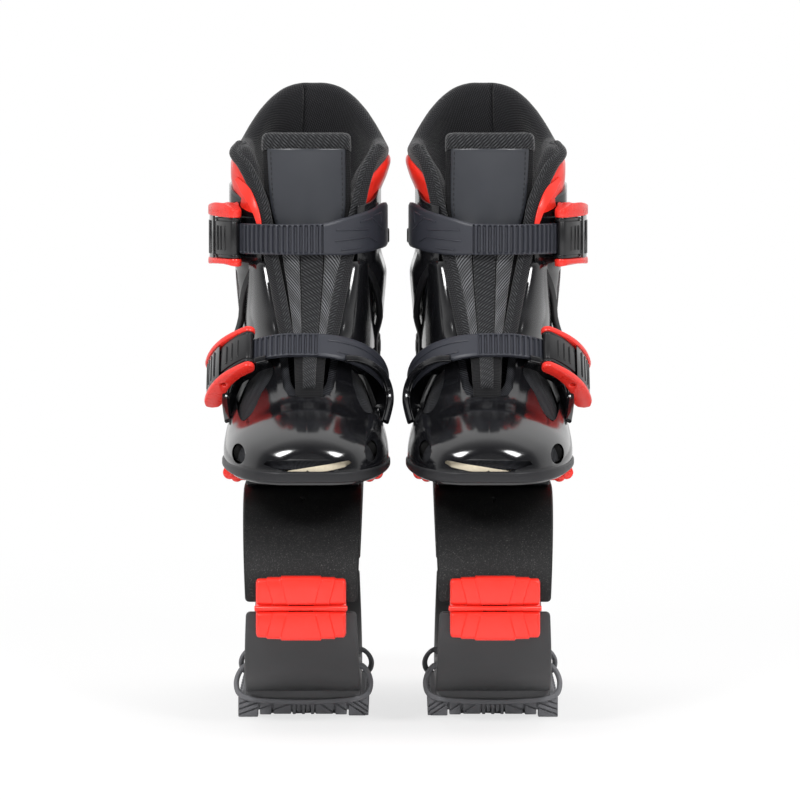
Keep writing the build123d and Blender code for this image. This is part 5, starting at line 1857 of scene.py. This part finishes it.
def floor_and_world():
    """A white floor, and a world that is white to the camera and behind the boots but dim in front."""
    bpy.ops.mesh.primitive_plane_add(size=60, location=(0, 0, -0.0002))
    floor = bpy.context.object
    floor.name = "floor"
    ground = Finish("floor_white", (0.86, 0.86, 0.86), 0.9)
    paths = ground.node("LightPath")
    white_for_camera(ground, ground.shader.outputs[0], paths.outputs["Is Camera Ray"])
    floor.data.materials.append(ground.material)
    floor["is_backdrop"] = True
    world = bpy.data.worlds.new("studio")
    bpy.context.scene.world = world
    world.use_nodes = True
    tree = world.node_tree
    room = tree.nodes["Background"]
    place = tree.nodes.new("ShaderNodeTexCoord")
    parts = tree.nodes.new("ShaderNodeSeparateXYZ")
    tree.links.new(place.outputs["Generated"], parts.inputs[0])
    shade_of_room = tree.nodes.new("ShaderNodeMapRange")
    shade_of_room.interpolation_type = "SMOOTHSTEP"
    for key, value in (("From Min", -0.75), ("From Max", 0.25), ("To Min", DIM_ROOM),
                       ("To Max", BRIGHT_ROOM)):
        shade_of_room.inputs[key].default_value = value
    tree.links.new(parts.outputs["Y"], shade_of_room.inputs["Value"])
    room.inputs["Color"].default_value = (1, 1, 1, 1)
    tree.links.new(shade_of_room.outputs[0], room.inputs["Strength"])
    white = tree.nodes.new("ShaderNodeBackground")
    white.inputs["Color"].default_value = (1, 1, 1, 1)
    paths = tree.nodes.new("ShaderNodeLightPath")
    both = tree.nodes.new("ShaderNodeMixShader")
    tree.links.new(paths.outputs["Is Camera Ray"], both.inputs[0])
    tree.links.new(room.outputs[0], both.inputs[1])
    tree.links.new(white.outputs[0], both.inputs[2])
    tree.links.new(both.outputs[0], tree.nodes["World Output"].inputs["Surface"])


def lamp(name, place, aim, size, power, shine=True):
    """A soft oval lamp that points at a place. Without shine it lights, but leaves no reflection."""
    data = bpy.data.lights.new(name, "AREA")
    data.shape = "ELLIPSE"
    data.size, data.size_y = size
    data.energy = power
    light = bpy.data.objects.new(name, data)
    bpy.context.scene.collection.objects.link(light)
    light.location = place
    light.rotation_mode = "QUATERNION"
    light.rotation_quaternion = (Vector(aim) - Vector(place)).to_track_quat("-Z", "Y")
    light.visible_glossy = shine


DIM_ROOM = 0.1
BRIGHT_ROOM = 1.0
floor_and_world()
lamp("left window", (-0.95, -1.7, 1.5), (0, 0, 0.2), (0.55, 0.6), 22)
lamp("right window", (0.95, -1.7, 1.5), (0, 0, 0.2), (0.55, 0.6), 19)
lamp("top", (0, 0.2, 2.2), (0, 0, 0.2), (1.2, 1.2), 14, shine=False)
lamp("low front", (0.3, -2.4, 0.35), (0, 0, 0.15), (1.2, 0.5), 10, shine=False)

# %% [markdown]
# The photograph was taken from about 3.6 m away with a long lens, from slightly above, so that the
# hinges look almost flat on. The camera's height and tilt come from where the floor line would lie.

# %% Camera
CAMERA_PLACE = (0.0013, -3.745, 0.473)
CAMERA_TILT = 4.017
FOCAL_PIXELS = 5481.0
PICTURE = 800.0
SENSOR = 36.0
lens = bpy.data.cameras.new("camera")
lens.sensor_width = SENSOR
lens.lens = FOCAL_PIXELS * SENSOR / PICTURE
lens.clip_start = 0.1
lens.clip_end = 100
camera = bpy.data.objects.new("camera", lens)
bpy.context.scene.collection.objects.link(camera)
camera.location = CAMERA_PLACE
camera.rotation_euler = (math.radians(90 - CAMERA_TILT), 0, 0)
bpy.context.scene.camera = camera
bpy.context.scene.view_settings.view_transform = "Standard"
print("camera lens:", round(lens.lens, 1), "mm")

# %% Sizes and the end
visual_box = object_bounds()
for low, high, new_low, new_high in zip(*solid_box, *visual_box):
    print("grew by", round((low - new_low) / MM, 1), round((new_high - high) / MM, 1), "mm")
